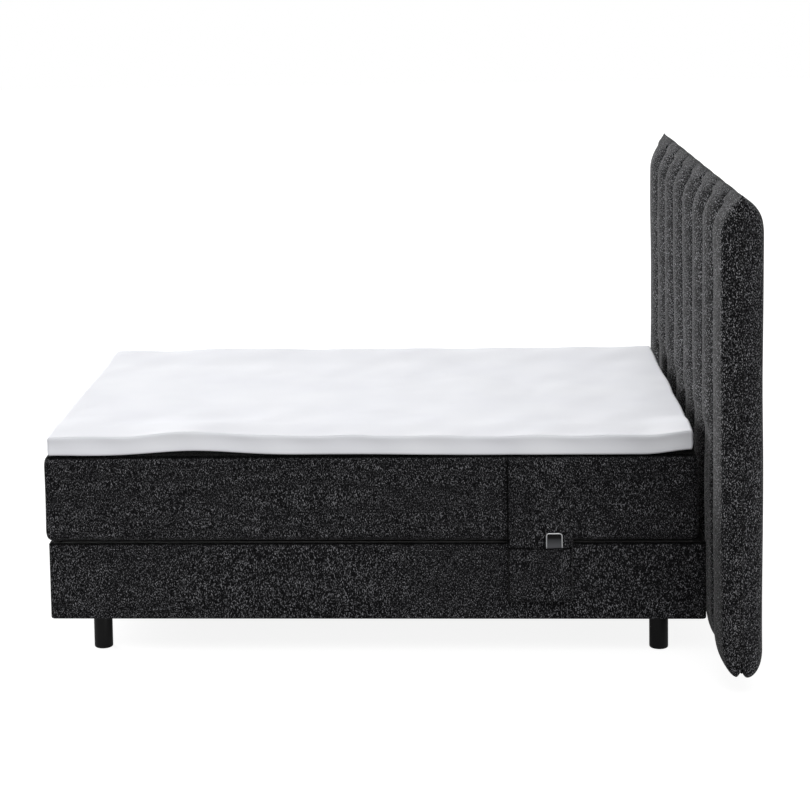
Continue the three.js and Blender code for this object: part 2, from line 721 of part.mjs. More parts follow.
// Drive unit, hung on both tubes
function buildDrive() {
  const x0 = tubeX(footLift) - housingEndMargin;
  const x1 = tubeX(headLift) + housingEndMargin;
  const half = housingWidth / 2;
  const shell = toSolid(boxAt([x0, -half, housingFloorHeight], [x1, half, housingTopHeight]));
  const inside = boxAt([x0 + housingWall, housingWall - half, housingFloorHeight + housingWall],
    [x1 - housingWall, half - housingWall, housingTopHeight + cutOverrun]);
  const slots = [footLift, headLift].flatMap((lift) => {
    const r = tubeRadius + tubeSlotGap;
    const x = tubeX(lift);
    return [
      rodAlongY(x, tubeZ, r, -half - cutOverrun, half + cutOverrun, tubeSides),
      boxAt([x - r, -half - cutOverrun, tubeZ], [x + r, half + cutOverrun, housingTopHeight + cutOverrun]),
    ];
  });
  piece('drive_housing', cutBy(shell, [inside, ...slots]), blackPlastic);
  const middle = (tubeX(footLift) + tubeX(headLift)) / 2;
  const floor = housingFloorHeight + housingWall + gap;
  const spindleEnd = housingWall + gap;
  piece('motor_unit', joined([
    boxAt([middle - motorLength / 2, -motorWidth / 2, floor],
      [middle + motorLength / 2, motorWidth / 2, floor + motorHeight]),
    rodAlongX(0, spindleHeight, spindleRadius, x0 + spindleEnd, x1 - spindleEnd, pinSides),
  ]), blackPlastic);
  for (const [end, lift] of [['head', headLift], ['foot', footLift]]) {
    const tip = tubeX(lift) - lift.way * (leverLength * Math.sin(leverSwing(lift)));
    const face = tip - lift.way * (leverTipRadius + blockGap);
    const xs = [face, face - lift.way * thrustBlockLength].sort((a, b) => a - b);
    const block = boxAt([xs[0], -thrustBlockWidth / 2, thrustBlockBottom],
      [xs[1], thrustBlockWidth / 2, thrustBlockTop]);
    const bore = rodAlongX(0, spindleHeight, spindleRadius + runningGap / 2,
      xs[0] - cutOverrun, xs[1] + cutOverrun, pinSides);
    piece(`${end}_thrust_block`, cutBy(toSolid(block), [bore]), nylon);
  }
}

// Headboard pad: a closed form whose front swells between the channel seams and rolls back to the
// edge seam at the top, the bottom and the ends. way is -1 for the front pad and 1 for the back pad.
function padForm(seamX, way, depth, channels, columns, rows) {
  const halfSpan = (channelCount * channelWidth) / 2;
  const height = headboardTop - headboardBottom;
  const roll = (distance, reach) => {
    const t = Math.min(1, distance / reach);
    return Math.sqrt(1 - (1 - t) ** 2);
  };
  const depthAt = (y, z) => {
    const ends = roll(halfSpan - Math.abs(y), padSideRound);
    // The front rises to a ridge at the top seam, and the back is rounded over
    const reach = Math.min(1, (headboardTop - z) / padTopRound);
    const tops = channels ? 1 - (1 - reach) ** ridgePower : roll(headboardTop - z, backTopRound);
    const bottoms = roll(z - headboardBottom, padBottomRound);
    const within = channels ? Math.abs(Math.sin((Math.PI * (y + halfSpan)) / channelWidth)) : 1;
    const seam = channels ? channelDepth * (1 - Math.sqrt(within)) : 0;
    return Math.max(0, (depth - seam) * Math.min(ends, tops, bottoms));
  };
  // Rows crowd towards the rolled top and bottom edges
  const rowAt = (share) => {
    const eased = (1 - Math.cos(Math.PI * share)) / 2;
    return headboardBottom + height * (eased * rowEaseShare + share * (1 - rowEaseShare));
  };
  const places = [];
  const index = [];
  const wide = columns + 1;
  for (let r = 0; r <= rows; r += 1) {
    for (let c = 0; c <= columns; c += 1) {
      const y = -halfSpan + (2 * halfSpan * c) / columns;
      const z = rowAt(r / rows);
      places.push(seamX + way * depthAt(y, z), y, z);
    }
  }
  for (let r = 0; r < rows; r += 1) {
    for (let c = 0; c < columns; c += 1) {
      const a = r * wide + c;
      const quad = [a, a + 1, a + wide, a + 1, a + wide + 1, a + wide];
      index.push(...(way > 0 ? quad : quad.slice().reverse()));
    }
  }
  // Flat face on the board, from a middle point to the edge seam
  const centre = places.length / 3;
  places.push(seamX, 0, (headboardTop + headboardBottom) / 2);
  const rim = [];
  for (let c = 0; c < columns; c += 1) rim.push(c);
  for (let r = 0; r < rows; r += 1) rim.push(r * wide + columns);
  for (let c = columns; c > 0; c -= 1) rim.push(rows * wide + c);
  for (let r = rows; r > 0; r -= 1) rim.push(r * wide);
  rim.forEach((a, i) => {
    const b = rim[(i + 1) % rim.length];
    index.push(...(way > 0 ? [centre, b, a] : [centre, a, b]));
  });
  const geometry = new THREE.BufferGeometry();
  geometry.setAttribute('position', new THREE.Float32BufferAttribute(places, 3));
  geometry.setIndex(index);
  return geometry;
}

function buildHeadboard() {
  const halfSpan = (channelCount * channelWidth) / 2;
  const coreX0 = headboardFront + frontPadDepth;
  const coreX1 = coreX0 + coreThickness;
  piece('headboard_front_pad', padForm(coreX0 - gap, -1, frontPadDepth - gap, true,
    channelCount * channelColumns, frontPadRows), tweed);
  piece('headboard_back_pad', padForm(coreX1 + gap, 1, backPadDepth - gap, false,
    backPadColumns, backPadRows), tweed);
  piece('headboard_core', boxAt([coreX0, coreInset - halfSpan, headboardBottom + coreInset],
    [coreX1, halfSpan - coreInset, headboardTop - coreInset]), plywood);
  // A flat steel bar between the base's head end and the crests of the channels
  piece('headboard_bracket', boxAt([baseLength + gap, -bracketHalf, bracketBottom],
    [headboardFront - gap, bracketHalf, bracketBottom + bracketHeight]), steel);
}

// Flap at the near side with a sewn pocket, and the hand control in it
const flapOuter = -halfWidth - gap - flapThickness;
const pocketCavity = flapOuter - pocketDepth;

function buildFlap() {
  const flapEnd = flapStart + flapWidth;
  const flap = boxAt([flapStart, flapOuter, flapBottom],
    [flapEnd, -halfWidth - gap, mattressTop - flapTopDrop]);
  const pocket = boxAt([flapStart, pocketCavity - pocketWall, flapBottom],
    [flapEnd, flapOuter + flapThickness / 2, flapBottom + pocketHeight]);
  const cavity = boxAt([flapStart + pocketWall, pocketCavity, flapBottom + pocketWall],
    [flapEnd - pocketWall, flapOuter, flapBottom + pocketHeight + cutOverrun]);
  piece('side_flap', cutBy(joined([flap, pocket]), [cavity]), tweed);
}

function roundedPlate(x0, x1, z0, z1, corner, y0, y1) {
  const points = [];
  const arc = (cx, cz, from) => {
    for (let i = 0; i <= cornerSteps; i += 1) {
      const turn = from + (Math.PI / 2) * (i / cornerSteps);
      points.push([cx + corner * Math.cos(turn), cz + corner * Math.sin(turn)]);
    }
  };
  arc(x1 - corner, z0 + corner, -Math.PI / 2);
  arc(x1 - corner, z1 - corner, 0);
  arc(x0 + corner, z1 - corner, Math.PI / 2);
  arc(x0 + corner, z0 + corner, Math.PI);
  return plateAlongY(points, y0, y1);
}

function buildControl() {
  const x1 = flapStart + flapWidth - controlFromFlapEnd;
  const x0 = x1 - controlWidth;
  const z0 = flapBottom + pocketWall + gap;
  const z1 = z0 + controlLength;
  const back = flapOuter - gap - controlPlay;
  const face = back - controlDepth;
  const middle = (x0 + x1) / 2;
  const keyMid = z1 - keyFromTop - keyHeight / 2;
  const wells = [];
  const wellDepth = keyThickness - keyProud + keyWellGap * 2;
  for (const [side, name] of [[-1, 'head'], [1, 'foot']]) {
    const x = middle + (side * keyPitch) / 2;
    wells.push(boxAt([x - keyWidth / 2 - keyWellGap, face - cutOverrun, keyMid - keyHeight / 2 - keyWellGap],
      [x + keyWidth / 2 + keyWellGap, face + wellDepth, keyMid + keyHeight / 2 + keyWellGap]));
    // The rocker's underside is cut to a shallow ridge, so that it can tilt on its middle
    const lift = (keyHeight / 2) * Math.tan(radians(keyTiltDegrees));
    const top = face - keyProud;
    const bottom = top + keyThickness;
    const key = new THREE.Shape([
      [top, -keyHeight / 2], [bottom - lift, -keyHeight / 2], [bottom, 0], [bottom - lift, keyHeight / 2],
      [top, keyHeight / 2],
    ].map(([y, z]) => new THREE.Vector2(y, z)));
    const solid = new THREE.ExtrudeGeometry(key, { depth: keyWidth, bevelEnabled: false });
    // The outline's first axis becomes Y and its second becomes Z
    solid.applyMatrix4(new THREE.Matrix4().makeBasis(
      new THREE.Vector3(0, 1, 0), new THREE.Vector3(0, 0, 1), new THREE.Vector3(1, 0, 0)));
    piece(`${name}_key`, solid.translate(x - keyWidth / 2, 0, keyMid), blackPlastic);
  }
  const body = toSolid(roundedPlate(x0, x1, z0, z1, controlCorner, face, back));
  piece('hand_control', cutBy(body, wells), controlPlastic);
}

buildRails();
buildBearers();
buildLegs();
buildLining();
buildDecks();
buildSleepingSurface();
buildLifts();
buildControlArms();
buildDrive();
buildHeadboard();
buildFlap();
buildControl();

export default bed;
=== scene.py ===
import json
import math
import bpy
import numpy as np
from mathutils import Matrix, Vector


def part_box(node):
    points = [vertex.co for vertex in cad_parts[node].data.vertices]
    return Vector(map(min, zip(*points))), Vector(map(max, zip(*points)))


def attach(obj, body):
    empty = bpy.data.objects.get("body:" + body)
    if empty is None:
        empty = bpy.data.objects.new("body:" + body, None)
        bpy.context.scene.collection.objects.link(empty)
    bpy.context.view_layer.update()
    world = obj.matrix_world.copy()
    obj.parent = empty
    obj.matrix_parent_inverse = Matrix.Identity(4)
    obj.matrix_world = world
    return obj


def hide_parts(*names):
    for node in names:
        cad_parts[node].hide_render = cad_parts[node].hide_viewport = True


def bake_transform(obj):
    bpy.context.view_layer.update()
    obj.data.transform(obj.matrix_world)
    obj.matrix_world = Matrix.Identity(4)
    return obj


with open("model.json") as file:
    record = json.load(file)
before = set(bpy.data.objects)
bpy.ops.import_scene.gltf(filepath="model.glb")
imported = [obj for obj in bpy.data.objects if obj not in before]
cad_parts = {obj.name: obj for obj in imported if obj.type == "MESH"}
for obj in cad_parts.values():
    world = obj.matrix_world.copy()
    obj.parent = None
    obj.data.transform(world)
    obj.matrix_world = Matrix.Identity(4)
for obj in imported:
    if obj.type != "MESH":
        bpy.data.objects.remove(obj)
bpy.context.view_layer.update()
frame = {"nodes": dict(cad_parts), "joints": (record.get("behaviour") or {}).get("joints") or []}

# Adjustable box spring bed: tweed base, mattress and channelled headboard, white topper,
# round black legs, a side pocket with a hand control, and the lifting gear inside.

# Shared helpers

def linear(code):
    # sRGB hex to linear red, green, blue and alpha
    parts = [int(code[i:i + 2], 16) / 255 for i in (1, 3, 5)]
    return [p / 12.92 if p <= 0.04045 else ((p + 0.055) / 1.055) ** 2.4 for p in parts] + [1.0]


def addNode(tree, kind, settings=None, **inputs):
    # one node with its settings; an input, named or numbered as in i0, takes a value or the
    # socket that feeds it
    node = tree.nodes.new(kind)
    for key, value in (settings or {}).items():
        setattr(node, key, value)
    for key, value in inputs.items():
        numbered = key[0] == "i" and key[1:].isdigit()
        socket = node.inputs[int(key[1:]) if numbered else key.replace("_", " ")]
        if isinstance(value, bpy.types.NodeSocket):
            tree.links.new(value, socket)
        else:
            socket.default_value = value
    return node


def newMaterial(name):
    # a material with its tree, its shader and the place on the object that patterns follow
    material = bpy.data.materials.new(name)
    material.use_nodes = True
    tree = material.node_tree
    shader = tree.nodes["Principled BSDF"]
    place = addNode(tree, "ShaderNodeTexCoord").outputs["Object"]
    return material, tree, shader, place


def setRamp(node, stops):
    # stops are positions and hex colours
    ramp = node.color_ramp
    while len(ramp.elements) < len(stops):
        ramp.elements.new(0.5)
    for element, (at, code) in zip(ramp.elements, stops):
        element.position = at
        element.color = linear(code)
    return node


def meshFrom(name, points, faces):
    mesh = bpy.data.meshes.new(name)
    mesh.from_pydata(points.tolist(), [], faces)
    mesh.update()
    piece = bpy.data.objects.new(name, mesh)
    bpy.context.scene.collection.objects.link(piece)
    return piece


def gridFaces(rows, columns, wrapColumns=False, first=0):
    # quads of a grid stored row by row; columns may close on themselves
    span = columns if wrapColumns else columns - 1
    r, c = np.meshgrid(np.arange(rows - 1), np.arange(span), indexing="ij")
    a = first + r * columns + c
    b = first + r * columns + (c + 1) % columns
    quads = np.stack([a, b, b + columns, a + columns], -1).reshape(-1, 4)
    return quads.tolist()


def tubeFaces(rows, columns):
    # a grid whose columns close on themselves, with both ends closed by a fan; the fans' middle
    # points are stored after the grid
    middle, last = rows * columns, (rows - 1) * columns
    faces = gridFaces(rows, columns, wrapColumns=True)
    for i in range(columns):
        j = (i + 1) % columns
        faces += [[middle, j, i], [middle + 1, last + i, last + j]]
    return faces


def finishPiece(piece, material, body, replaced=()):
    piece.data.materials.append(material)
    piece.data.polygons.foreach_set("use_smooth", [True] * len(piece.data.polygons))
    if body:
        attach(piece, body)
    if replaced:
        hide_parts(*replaced)
    return piece


def markSharp(piece, keep):
    # an edge whose two ends pass the test is creased, so shading doesn't run round a cut end
    mesh = piece.data
    edges = np.zeros(len(mesh.edges) * 2, np.int32)
    mesh.edges.foreach_get("vertices", edges)
    edges = edges.reshape(-1, 2)
    sharp = keep[edges[:, 0]] & keep[edges[:, 1]]
    layer = mesh.attributes.get("sharp_edge") or mesh.attributes.new("sharp_edge", "BOOLEAN", "EDGE")
    layer.data.foreach_set("value", sharp)


def smoothstep(t):
    t = np.clip(t, 0, 1)
    return t * t * (3 - 2 * t)


def roundedPath(x0, x1, y0, y1, corner, cornerSteps, runSteps=1):
    # a rectangle with quarter circle corners, walked counter-clockwise from its lower right
    # corner: its points, and the outward direction at each
    centres = [(x1 - corner, y0 + corner), (x1 - corner, y1 - corner),
               (x0 + corner, y1 - corner), (x0 + corner, y0 + corner)]
    share = np.linspace(0, 1, runSteps + 1)[1:-1, None]
    turns = [math.pi / 2 * (k - 1) + np.linspace(0, math.pi / 2, cornerSteps + 1) for k in range(4)]
    outward = [np.stack([np.cos(turn), np.sin(turn)], -1) for turn in turns]
    arcs = [centre + corner * out for centre, out in zip(centres, outward)]
    points, directions = [], []
    for arc, following, out in zip(arcs, arcs[1:] + arcs[:1], outward):
        points += [arc, arc[-1] + (following[0] - arc[-1]) * share]
        directions += [out, np.repeat(out[-1:], len(share), 0)]
    return np.concatenate(points), np.concatenate(directions)


def joint(name):
    return next(j for j in frame["joints"] if j["name"] == name)


# Camera, light and floor

# The camera was fitted to the photo: place in metres, focal length in pixels, turns in degrees
camera = {"x": 0.203, "y": -7.026, "z": 2.153, "focal": 2084, "pitch": 5.412, "yaw": -3.39,
          "roll": -1.032, "shiftX": 0.0946, "shiftY": -0.30, "sensor": 36.0, "imageSide": 810,
          "clipEnd": 100}


def makeCamera():
    data = bpy.data.cameras.new("camera")
    data.sensor_width = camera["sensor"]
    data.lens = camera["focal"] / camera["imageSide"] * camera["sensor"]
    data.shift_x = camera["shiftX"]
    data.shift_y = camera["shiftY"]
    data.clip_end = camera["clipEnd"]
    eye = bpy.data.objects.new("camera", data)
    bpy.context.scene.collection.objects.link(eye)
    pitch, yaw, roll = (math.radians(camera[key]) for key in ("pitch", "yaw", "roll"))
    forward = np.array([math.sin(yaw) * math.cos(pitch), math.cos(yaw) * math.cos(pitch), -math.sin(pitch)])
    right = np.array([math.cos(yaw), -math.sin(yaw), 0.0])
    up = np.cross(right, forward)
    side = math.cos(roll) * right + math.sin(roll) * up
    top = -math.sin(roll) * right + math.cos(roll) * up
    matrix = np.eye(4)
    matrix[:3, 0], matrix[:3, 1], matrix[:3, 2] = side, top, -forward
    matrix[:3, 3] = [camera["x"], camera["y"], camera["z"]]
    eye.matrix_world = Matrix(matrix.tolist())
    bpy.context.scene.camera = eye


# A white studio: an even dome, a low soft key from the far corner of the foot end, a soft top
# light on the near side, a weak fill from the near right and a rim light behind the headboard
world = {"colour": "#FFFFFF", "light": 0.40, "seen": 1.0}
suns = {
    "key": {"towards": (-0.62, 0.68, 0.33), "angle": 22, "strength": 3.3},
    "top": {"towards": (0.0, -0.62, 0.78), "angle": 30, "strength": 1.0},
    "fill": {"towards": (0.62, -0.76, 0.17), "angle": 25, "strength": 0.42},
    "rim": {"towards": (0.97, -0.10, 0.15), "angle": 20, "strength": 1.1},
}
floorPaint = {"half": 30, "colour": "#959595", "roughness": 0.9, "specular": 0.0,
              "glowColour": "#FFFFFF", "glow": 0.15, "glowSeen": 0.88, "below": 0.0005}


def seenOrLight(tree, light, seen):
    # one strength for what is seen directly and another for the light that is thrown
    direct = addNode(tree, "ShaderNodeLightPath").outputs["Is Camera Ray"]
    return addNode(tree, "ShaderNodeMapRange", Value=direct, To_Min=light, To_Max=seen).outputs[0]


def makeLights():
    dome = bpy.data.worlds.new("studio")
    dome.use_nodes = True
    tree = dome.node_tree
    background = tree.nodes["Background"]
    background.inputs["Color"].default_value = linear(world["colour"])
    tree.links.new(seenOrLight(tree, world["light"], world["seen"]), background.inputs["Strength"])
    bpy.context.scene.world = dome
    bpy.context.scene.view_settings.view_transform = "Standard"
    for name, sun in suns.items():
        data = bpy.data.lights.new(name, "SUN")
        data.angle = math.radians(sun["angle"])
        data.energy = sun["strength"]
        lamp = bpy.data.objects.new(name, data)
        lamp.rotation_mode = "QUATERNION"
        lamp.rotation_quaternion = (-Vector(sun["towards"])).to_track_quat("-Z", "Y")
        bpy.context.scene.collection.objects.link(lamp)


def makeFloor():
    # pale studio paint, lit from within a little so that the bed's shadow stays faint
    half = floorPaint["half"]
    corners = np.array([[-half, -half, 0], [half, -half, 0], [half, half, 0], [-half, half, 0]], float)
    floor = meshFrom("floor", corners - [0, 0, floorPaint["below"]], [[0, 1, 2, 3]])
    material, tree, shader, place = newMaterial("paleFloorPaint")
    shader.inputs["Base Color"].default_value = linear(floorPaint["colour"])
    shader.inputs["Roughness"].default_value = floorPaint["roughness"]
    shader.inputs["Specular IOR Level"].default_value = floorPaint["specular"]
    shader.inputs["Emission Color"].default_value = linear(floorPaint["glowColour"])
    tree.links.new(seenOrLight(tree, floorPaint["glow"], floorPaint["glowSeen"]),
                   shader.inputs["Emission Strength"])
    floor.data.materials.append(material)


makeCamera()
makeLights()
makeFloor()
print("stage ready")


# Materials

# Most of a noise texture's values lie between these two
noiseLow, noiseHigh = 0.3, 0.7


def colourFrom(tree, shader, share, stops):
    # the colour follows a share from 0 to 1 through positions and hex colours
    tone = setRamp(addNode(tree, "ShaderNodeValToRGB", Fac=share), stops)
    tree.links.new(tone.outputs["Color"], shader.inputs["Base Color"])


def roughFrom(tree, shader, noise, atLow, atHigh):
    # the roughness follows a noise, between its values where the noise is low and high
    rough = addNode(tree, "ShaderNodeMapRange", Value=noise, From_Min=noiseLow, From_Max=noiseHigh,
                    To_Min=atLow, To_Max=atHigh)
    tree.links.new(rough.outputs[0], shader.inputs["Roughness"])


def reliefFrom(tree, shader, height, strength, depth):
    # the surface's fine relief follows a height
    bump = addNode(tree, "ShaderNodeBump", Strength=strength, Distance=depth, Height=height)
    tree.links.new(bump.outputs[0], shader.inputs["Normal"])


tweed = {"dark": "#030304", "ground": "#121213", "grey": "#29292B", "darkAt": 0.34, "groundAt": 0.52,
         "greyAt": 0.70, "yarnWide": 0.0019, "yarnTall": 0.0038, "fleck": "#9E9EA2", "fleckWide": 0.0021,
         "fleckTall": 0.0048, "fleckFrom": 0.56, "fleckFull": 0.74, "across": 1.0, "patch": 0.05,
         "patchLeast": 0.55, "seamSoft": 0.4, "bump": 0.0010, "bumpStrength": 0.75, "roughness": 0.95,
         "specular": 0.02, "sheen": 0.16, "sheenRoughness": 0.30}
# on the headboard the flecks are drawn wider along Y, to show where the cloth is seen edge-on, and paler, as
# painted light: the front of the headboard is a lighter copy of the tweed
glancingLitTweed = dict(tweed, across=0.42, fleck="#BBBBBF", sheen=0.20)


def threadScale(across, wide, tall):
    # how often threads of this width and height repeat in a metre; across under 1 widens them
    # along Y
    return 1 / wide, across / wide, 1 / tall


def tweedCloth(name, cloth, paintedShadeBands=()):
    # melange tweed: dark wool with short pale slubs lying along the yarn, matt and slightly
    # hairy. The slubs are 2 mm wide, as coarse as they need to be to show. A painted shade band
    # darkens the cloth near one plane, by its axis, place, half width and strength.
    material, tree, shader, place = newMaterial(name)
    slubs = addNode(tree, "ShaderNodeMapping", Vector=place,
                    Scale=threadScale(cloth["across"], cloth["fleckWide"], cloth["fleckTall"]))
    pale = addNode(tree, "ShaderNodeTexNoise", Vector=slubs.outputs[0], Scale=1.0, Detail=1.0, Roughness=0.4)
    paleMask = setRamp(addNode(tree, "ShaderNodeValToRGB", Fac=pale.outputs["Fac"]),
                       [(cloth["fleckFrom"], "#000000"), (cloth["fleckFull"], "#FFFFFF")])
    fine = addNode(tree, "ShaderNodeMapping", Vector=place,
                   Scale=threadScale(cloth["across"], cloth["yarnWide"], cloth["yarnTall"]))
    yarn = addNode(tree, "ShaderNodeTexNoise", Vector=fine.outputs[0], Scale=0.8, Detail=2.0, Roughness=0.6)
    ground = setRamp(addNode(tree, "ShaderNodeValToRGB", Fac=yarn.outputs["Fac"]),
                     [(cloth[f"{tone}At"], cloth[tone]) for tone in ("dark", "ground", "grey")])
    patches = addNode(tree, "ShaderNodeTexNoise", Vector=place, Scale=1 / cloth["patch"], Detail=2.0)
    patchMask = addNode(tree, "ShaderNodeMapRange", Value=patches.outputs["Fac"], From_Min=noiseLow,
                        From_Max=noiseHigh, To_Min=cloth["patchLeast"], To_Max=1.0)
    strength = addNode(tree, "ShaderNodeMath", {"operation": "MULTIPLY"},
                       i0=paleMask.outputs["Color"], i1=patchMask.outputs[0])
    flecked = addNode(tree, "ShaderNodeMix", {"data_type": "RGBA"}, Factor=strength.outputs[0],
                      i6=ground.outputs["Color"], i7=linear(cloth["fleck"]))
    colour = flecked.outputs[2]
    # painted shade: each band darkens the colour near its plane, for creases, gaps and edges where shade
    # falls
    for axis, at, half, share in paintedShadeBands:
        along = addNode(tree, "ShaderNodeSeparateXYZ", Vector=place).outputs[axis]
        offset = addNode(tree, "ShaderNodeMath", {"operation": "SUBTRACT"}, i0=along, i1=at)
        away = addNode(tree, "ShaderNodeMath", {"operation": "ABSOLUTE"}, i0=offset.outputs[0])
        near = addNode(tree, "ShaderNodeMapRange", Value=away.outputs[0], To_Min=share, To_Max=0.0,
                       From_Min=half * (1 - cloth["seamSoft"]), From_Max=half * (1 + cloth["seamSoft"]))
        shade = addNode(tree, "ShaderNodeMix", {"data_type": "RGBA"}, Factor=near.outputs[0],
                        i6=colour, i7=linear("#000000"))
        colour = shade.outputs[2]
    tree.links.new(colour, shader.inputs["Base Color"])
    height = addNode(tree, "ShaderNodeMath", {"operation": "ADD"},
                     i0=yarn.outputs["Fac"], i1=strength.outputs[0])
    reliefFrom(tree, shader, height.outputs[0], cloth["bumpStrength"], cloth["bump"])
    shader.inputs["Roughness"].default_value = cloth["roughness"]
    shader.inputs["Specular IOR Level"].default_value = cloth["specular"]
    shader.inputs["Sheen Weight"].default_value = cloth["sheen"]
    shader.inputs["Sheen Roughness"].default_value = cloth["sheenRoughness"]
    return material


knit = {"colour": "#F1F2F6", "shade": "#ECEDF2", "loop": 0.0024, "rib": 0.6, "patch": 0.25,
        "bump": 0.0006, "bumpStrength": 0.35, "roughness": 0.85, "specular": 0.1}


def topperKnit(name):
    # white double jersey: soft, matt, with a faint rib of loops, coarser than real ones to show
    material, tree, shader, place = newMaterial(name)
    loop = 1 / knit["loop"]
    loops = addNode(tree, "ShaderNodeMapping", Vector=place, Scale=(loop, knit["rib"] / knit["loop"], loop))
    noise = addNode(tree, "ShaderNodeTexNoise", Vector=loops.outputs[0], Scale=1.0, Detail=2.0)
    broad = addNode(tree, "ShaderNodeTexNoise", Vector=place, Scale=1 / knit["patch"], Detail=2.0)
    stops = [(noiseLow, knit["shade"]), (noiseHigh, knit["colour"])]
    colourFrom(tree, shader, broad.outputs["Fac"], stops)
    reliefFrom(tree, shader, noise.outputs["Fac"], knit["bumpStrength"], knit["bump"])
    shader.inputs["Roughness"].default_value = knit["roughness"]
    shader.inputs["Specular IOR Level"].default_value = knit["specular"]
    return material


woodGrain = {"along": 0.06, "darkAt": 0.35, "lightAt": 0.62, "rough": 0.7, "smooth": 0.55,
             "bump": 0.0004, "bumpStrength": 0.2}
woods = {
    "planedSpruce": {"light": "#D9BC8C", "dark": "#B8905C", "spacing": 0.004},
    "blackStainedBirchPlywood": {"light": "#2A2725", "dark": "#171513", "spacing": 0.003},
}


def grainedWood(name, wood):
    # planed wood: long soft grain along X, slightly glossy on the late wood
    material, tree, shader, place = newMaterial(name)
    across = 1 / wood["spacing"]
    lines = addNode(tree, "ShaderNodeMapping", Vector=place,
                    Scale=(woodGrain["along"] / wood["spacing"], across, across))
    noise = addNode(tree, "ShaderNodeTexNoise", Vector=lines.outputs[0], Scale=0.6, Detail=5.0,
                    Distortion=0.4)
    stops = [(woodGrain["darkAt"], wood["dark"]), (woodGrain["lightAt"], wood["light"])]
    colourFrom(tree, shader, noise.outputs["Fac"], stops)
    roughFrom(tree, shader, noise.outputs["Fac"], woodGrain["rough"], woodGrain["smooth"])
    reliefFrom(tree, shader, noise.outputs["Fac"], woodGrain["bumpStrength"], woodGrain["bump"])
    return material


speckle = {"patches": 9.0, "plainAt": 0.35, "wornAt": 0.75, "bumpStrength": 0.3}
finishes = {
    "blackPowderCoat": {"colour": "#141416", "worn": "#1B1B1E", "roughness": 0.42, "spread": 0.06,
                        "grain": 0.0012, "depth": 0.00008},
    "zincPlatedSteel": {"colour": "#A9ADB1", "worn": "#8E9297", "roughness": 0.34, "spread": 0.08,
                        "grain": 0.002, "depth": 0.00004, "metallic": 1.0},
    "mouldedBlackPolyamide": {"colour": "#1A1B1D", "worn": "#222326", "roughness": 0.5, "spread": 0.05,
                              "grain": 0.0008, "depth": 0.00006},
    "naturalNylon": {"colour": "#DDDCD2", "worn": "#D2D0C4", "roughness": 0.42, "spread": 0.05,
                     "grain": 0.002, "depth": 0.00003},
    "blackNonwovenLining": {"colour": "#1D1D1E", "worn": "#262627", "roughness": 0.95, "spread": 0.03,
                            "grain": 0.0009, "depth": 0.0003},
    "blackSatinLacquer": {"colour": "#060607", "worn": "#0A0A0B", "roughness": 0.30, "spread": 0.05,
                          "grain": 0.0015, "depth": 0.00003, "gloss": 0.28},
    "blackHandsetPlastic": {"colour": "#17181A", "worn": "#1D1E20", "roughness": 0.4, "spread": 0.05,
                            "grain": 0.0008, "depth": 0.00003, "gloss": 0.3},
    "satinSilverTrim": {"colour": "#E6E7E9", "worn": "#D8D9DC", "roughness": 0.34, "spread": 0.04,
                        "grain": 0.0006, "depth": 0.00002, "metallic": 0.6},
    "softTouchRubberKeys": {"colour": "#8E9094", "worn": "#85878B", "roughness": 0.6, "spread": 0.04,
                            "grain": 0.0006, "depth": 0.00003},
}


def speckled(name, finish):
    # a finish with fine unevenness, which takes the sharpness off its highlights: powder coat,
    # zinc plate, lacquer or moulded plastic
    material, tree, shader, place = newMaterial(name)
    fine = addNode(tree, "ShaderNodeTexNoise", Vector=place, Scale=1 / finish["grain"], Detail=2.0)
    broad = addNode(tree, "ShaderNodeTexNoise", Vector=place, Scale=speckle["patches"], Detail=3.0)
    stops = [(speckle["plainAt"], finish["colour"]), (speckle["wornAt"], finish["worn"])]
    colourFrom(tree, shader, broad.outputs["Fac"], stops)
    roughFrom(tree, shader, broad.outputs["Fac"], finish["roughness"] - finish["spread"],
              finish["roughness"] + finish["spread"])
    reliefFrom(tree, shader, fine.outputs["Fac"], speckle["bumpStrength"], finish["depth"])
    shader.inputs["Metallic"].default_value = finish.get("metallic", 0.0)
    shader.inputs["Specular IOR Level"].default_value = finish.get("gloss", 0.5)
    return material


smoked = {"tones": [(0.0, "#040405"), (0.36, "#09090A"), (0.43, "#313234"), (1.0, "#5C5D60")],
          "fall": 0.045, "speckles": 900.0, "smooth": 0.30, "rough": 0.36, "specular": 0.2}


def smokedPanelShadedTop(name, high):
    # smoked acrylic, with painted shade: black under its top edge, as if in the frame's shadow, paling to
    # grey towards its foot
    material, tree, shader, place = newMaterial(name)
    up = addNode(tree, "ShaderNodeSeparateXYZ", Vector=place).outputs["Z"]
    share = addNode(tree, "ShaderNodeMapRange", Value=up, From_Min=high, From_Max=high - smoked["fall"])
    colourFrom(tree, shader, share.outputs[0], smoked["tones"])
    fine = addNode(tree, "ShaderNodeTexNoise", Vector=place, Scale=smoked["speckles"], Detail=1.0)
    roughFrom(tree, shader, fine.outputs["Fac"], smoked["smooth"], smoked["rough"])
    shader.inputs["Specular IOR Level"].default_value = smoked["specular"]
    return material


tweedMaterial = tweedCloth("charcoalMelangeTweed", tweed)
# painted light: the headboard's front takes the lighter copy of the tweed
headboardLitMaterial = tweedCloth("charcoalMelangeTweedAcross", glancingLitTweed)
knitMaterial = topperKnit("whiteDoubleJersey")
materialOf = {name: grainedWood(name, wood) for name, wood in woods.items()}
materialOf.update({name: speckled(name, finish) for name, finish in finishes.items()})
print("materials ready")


# The CAD pieces that stay get their own finish

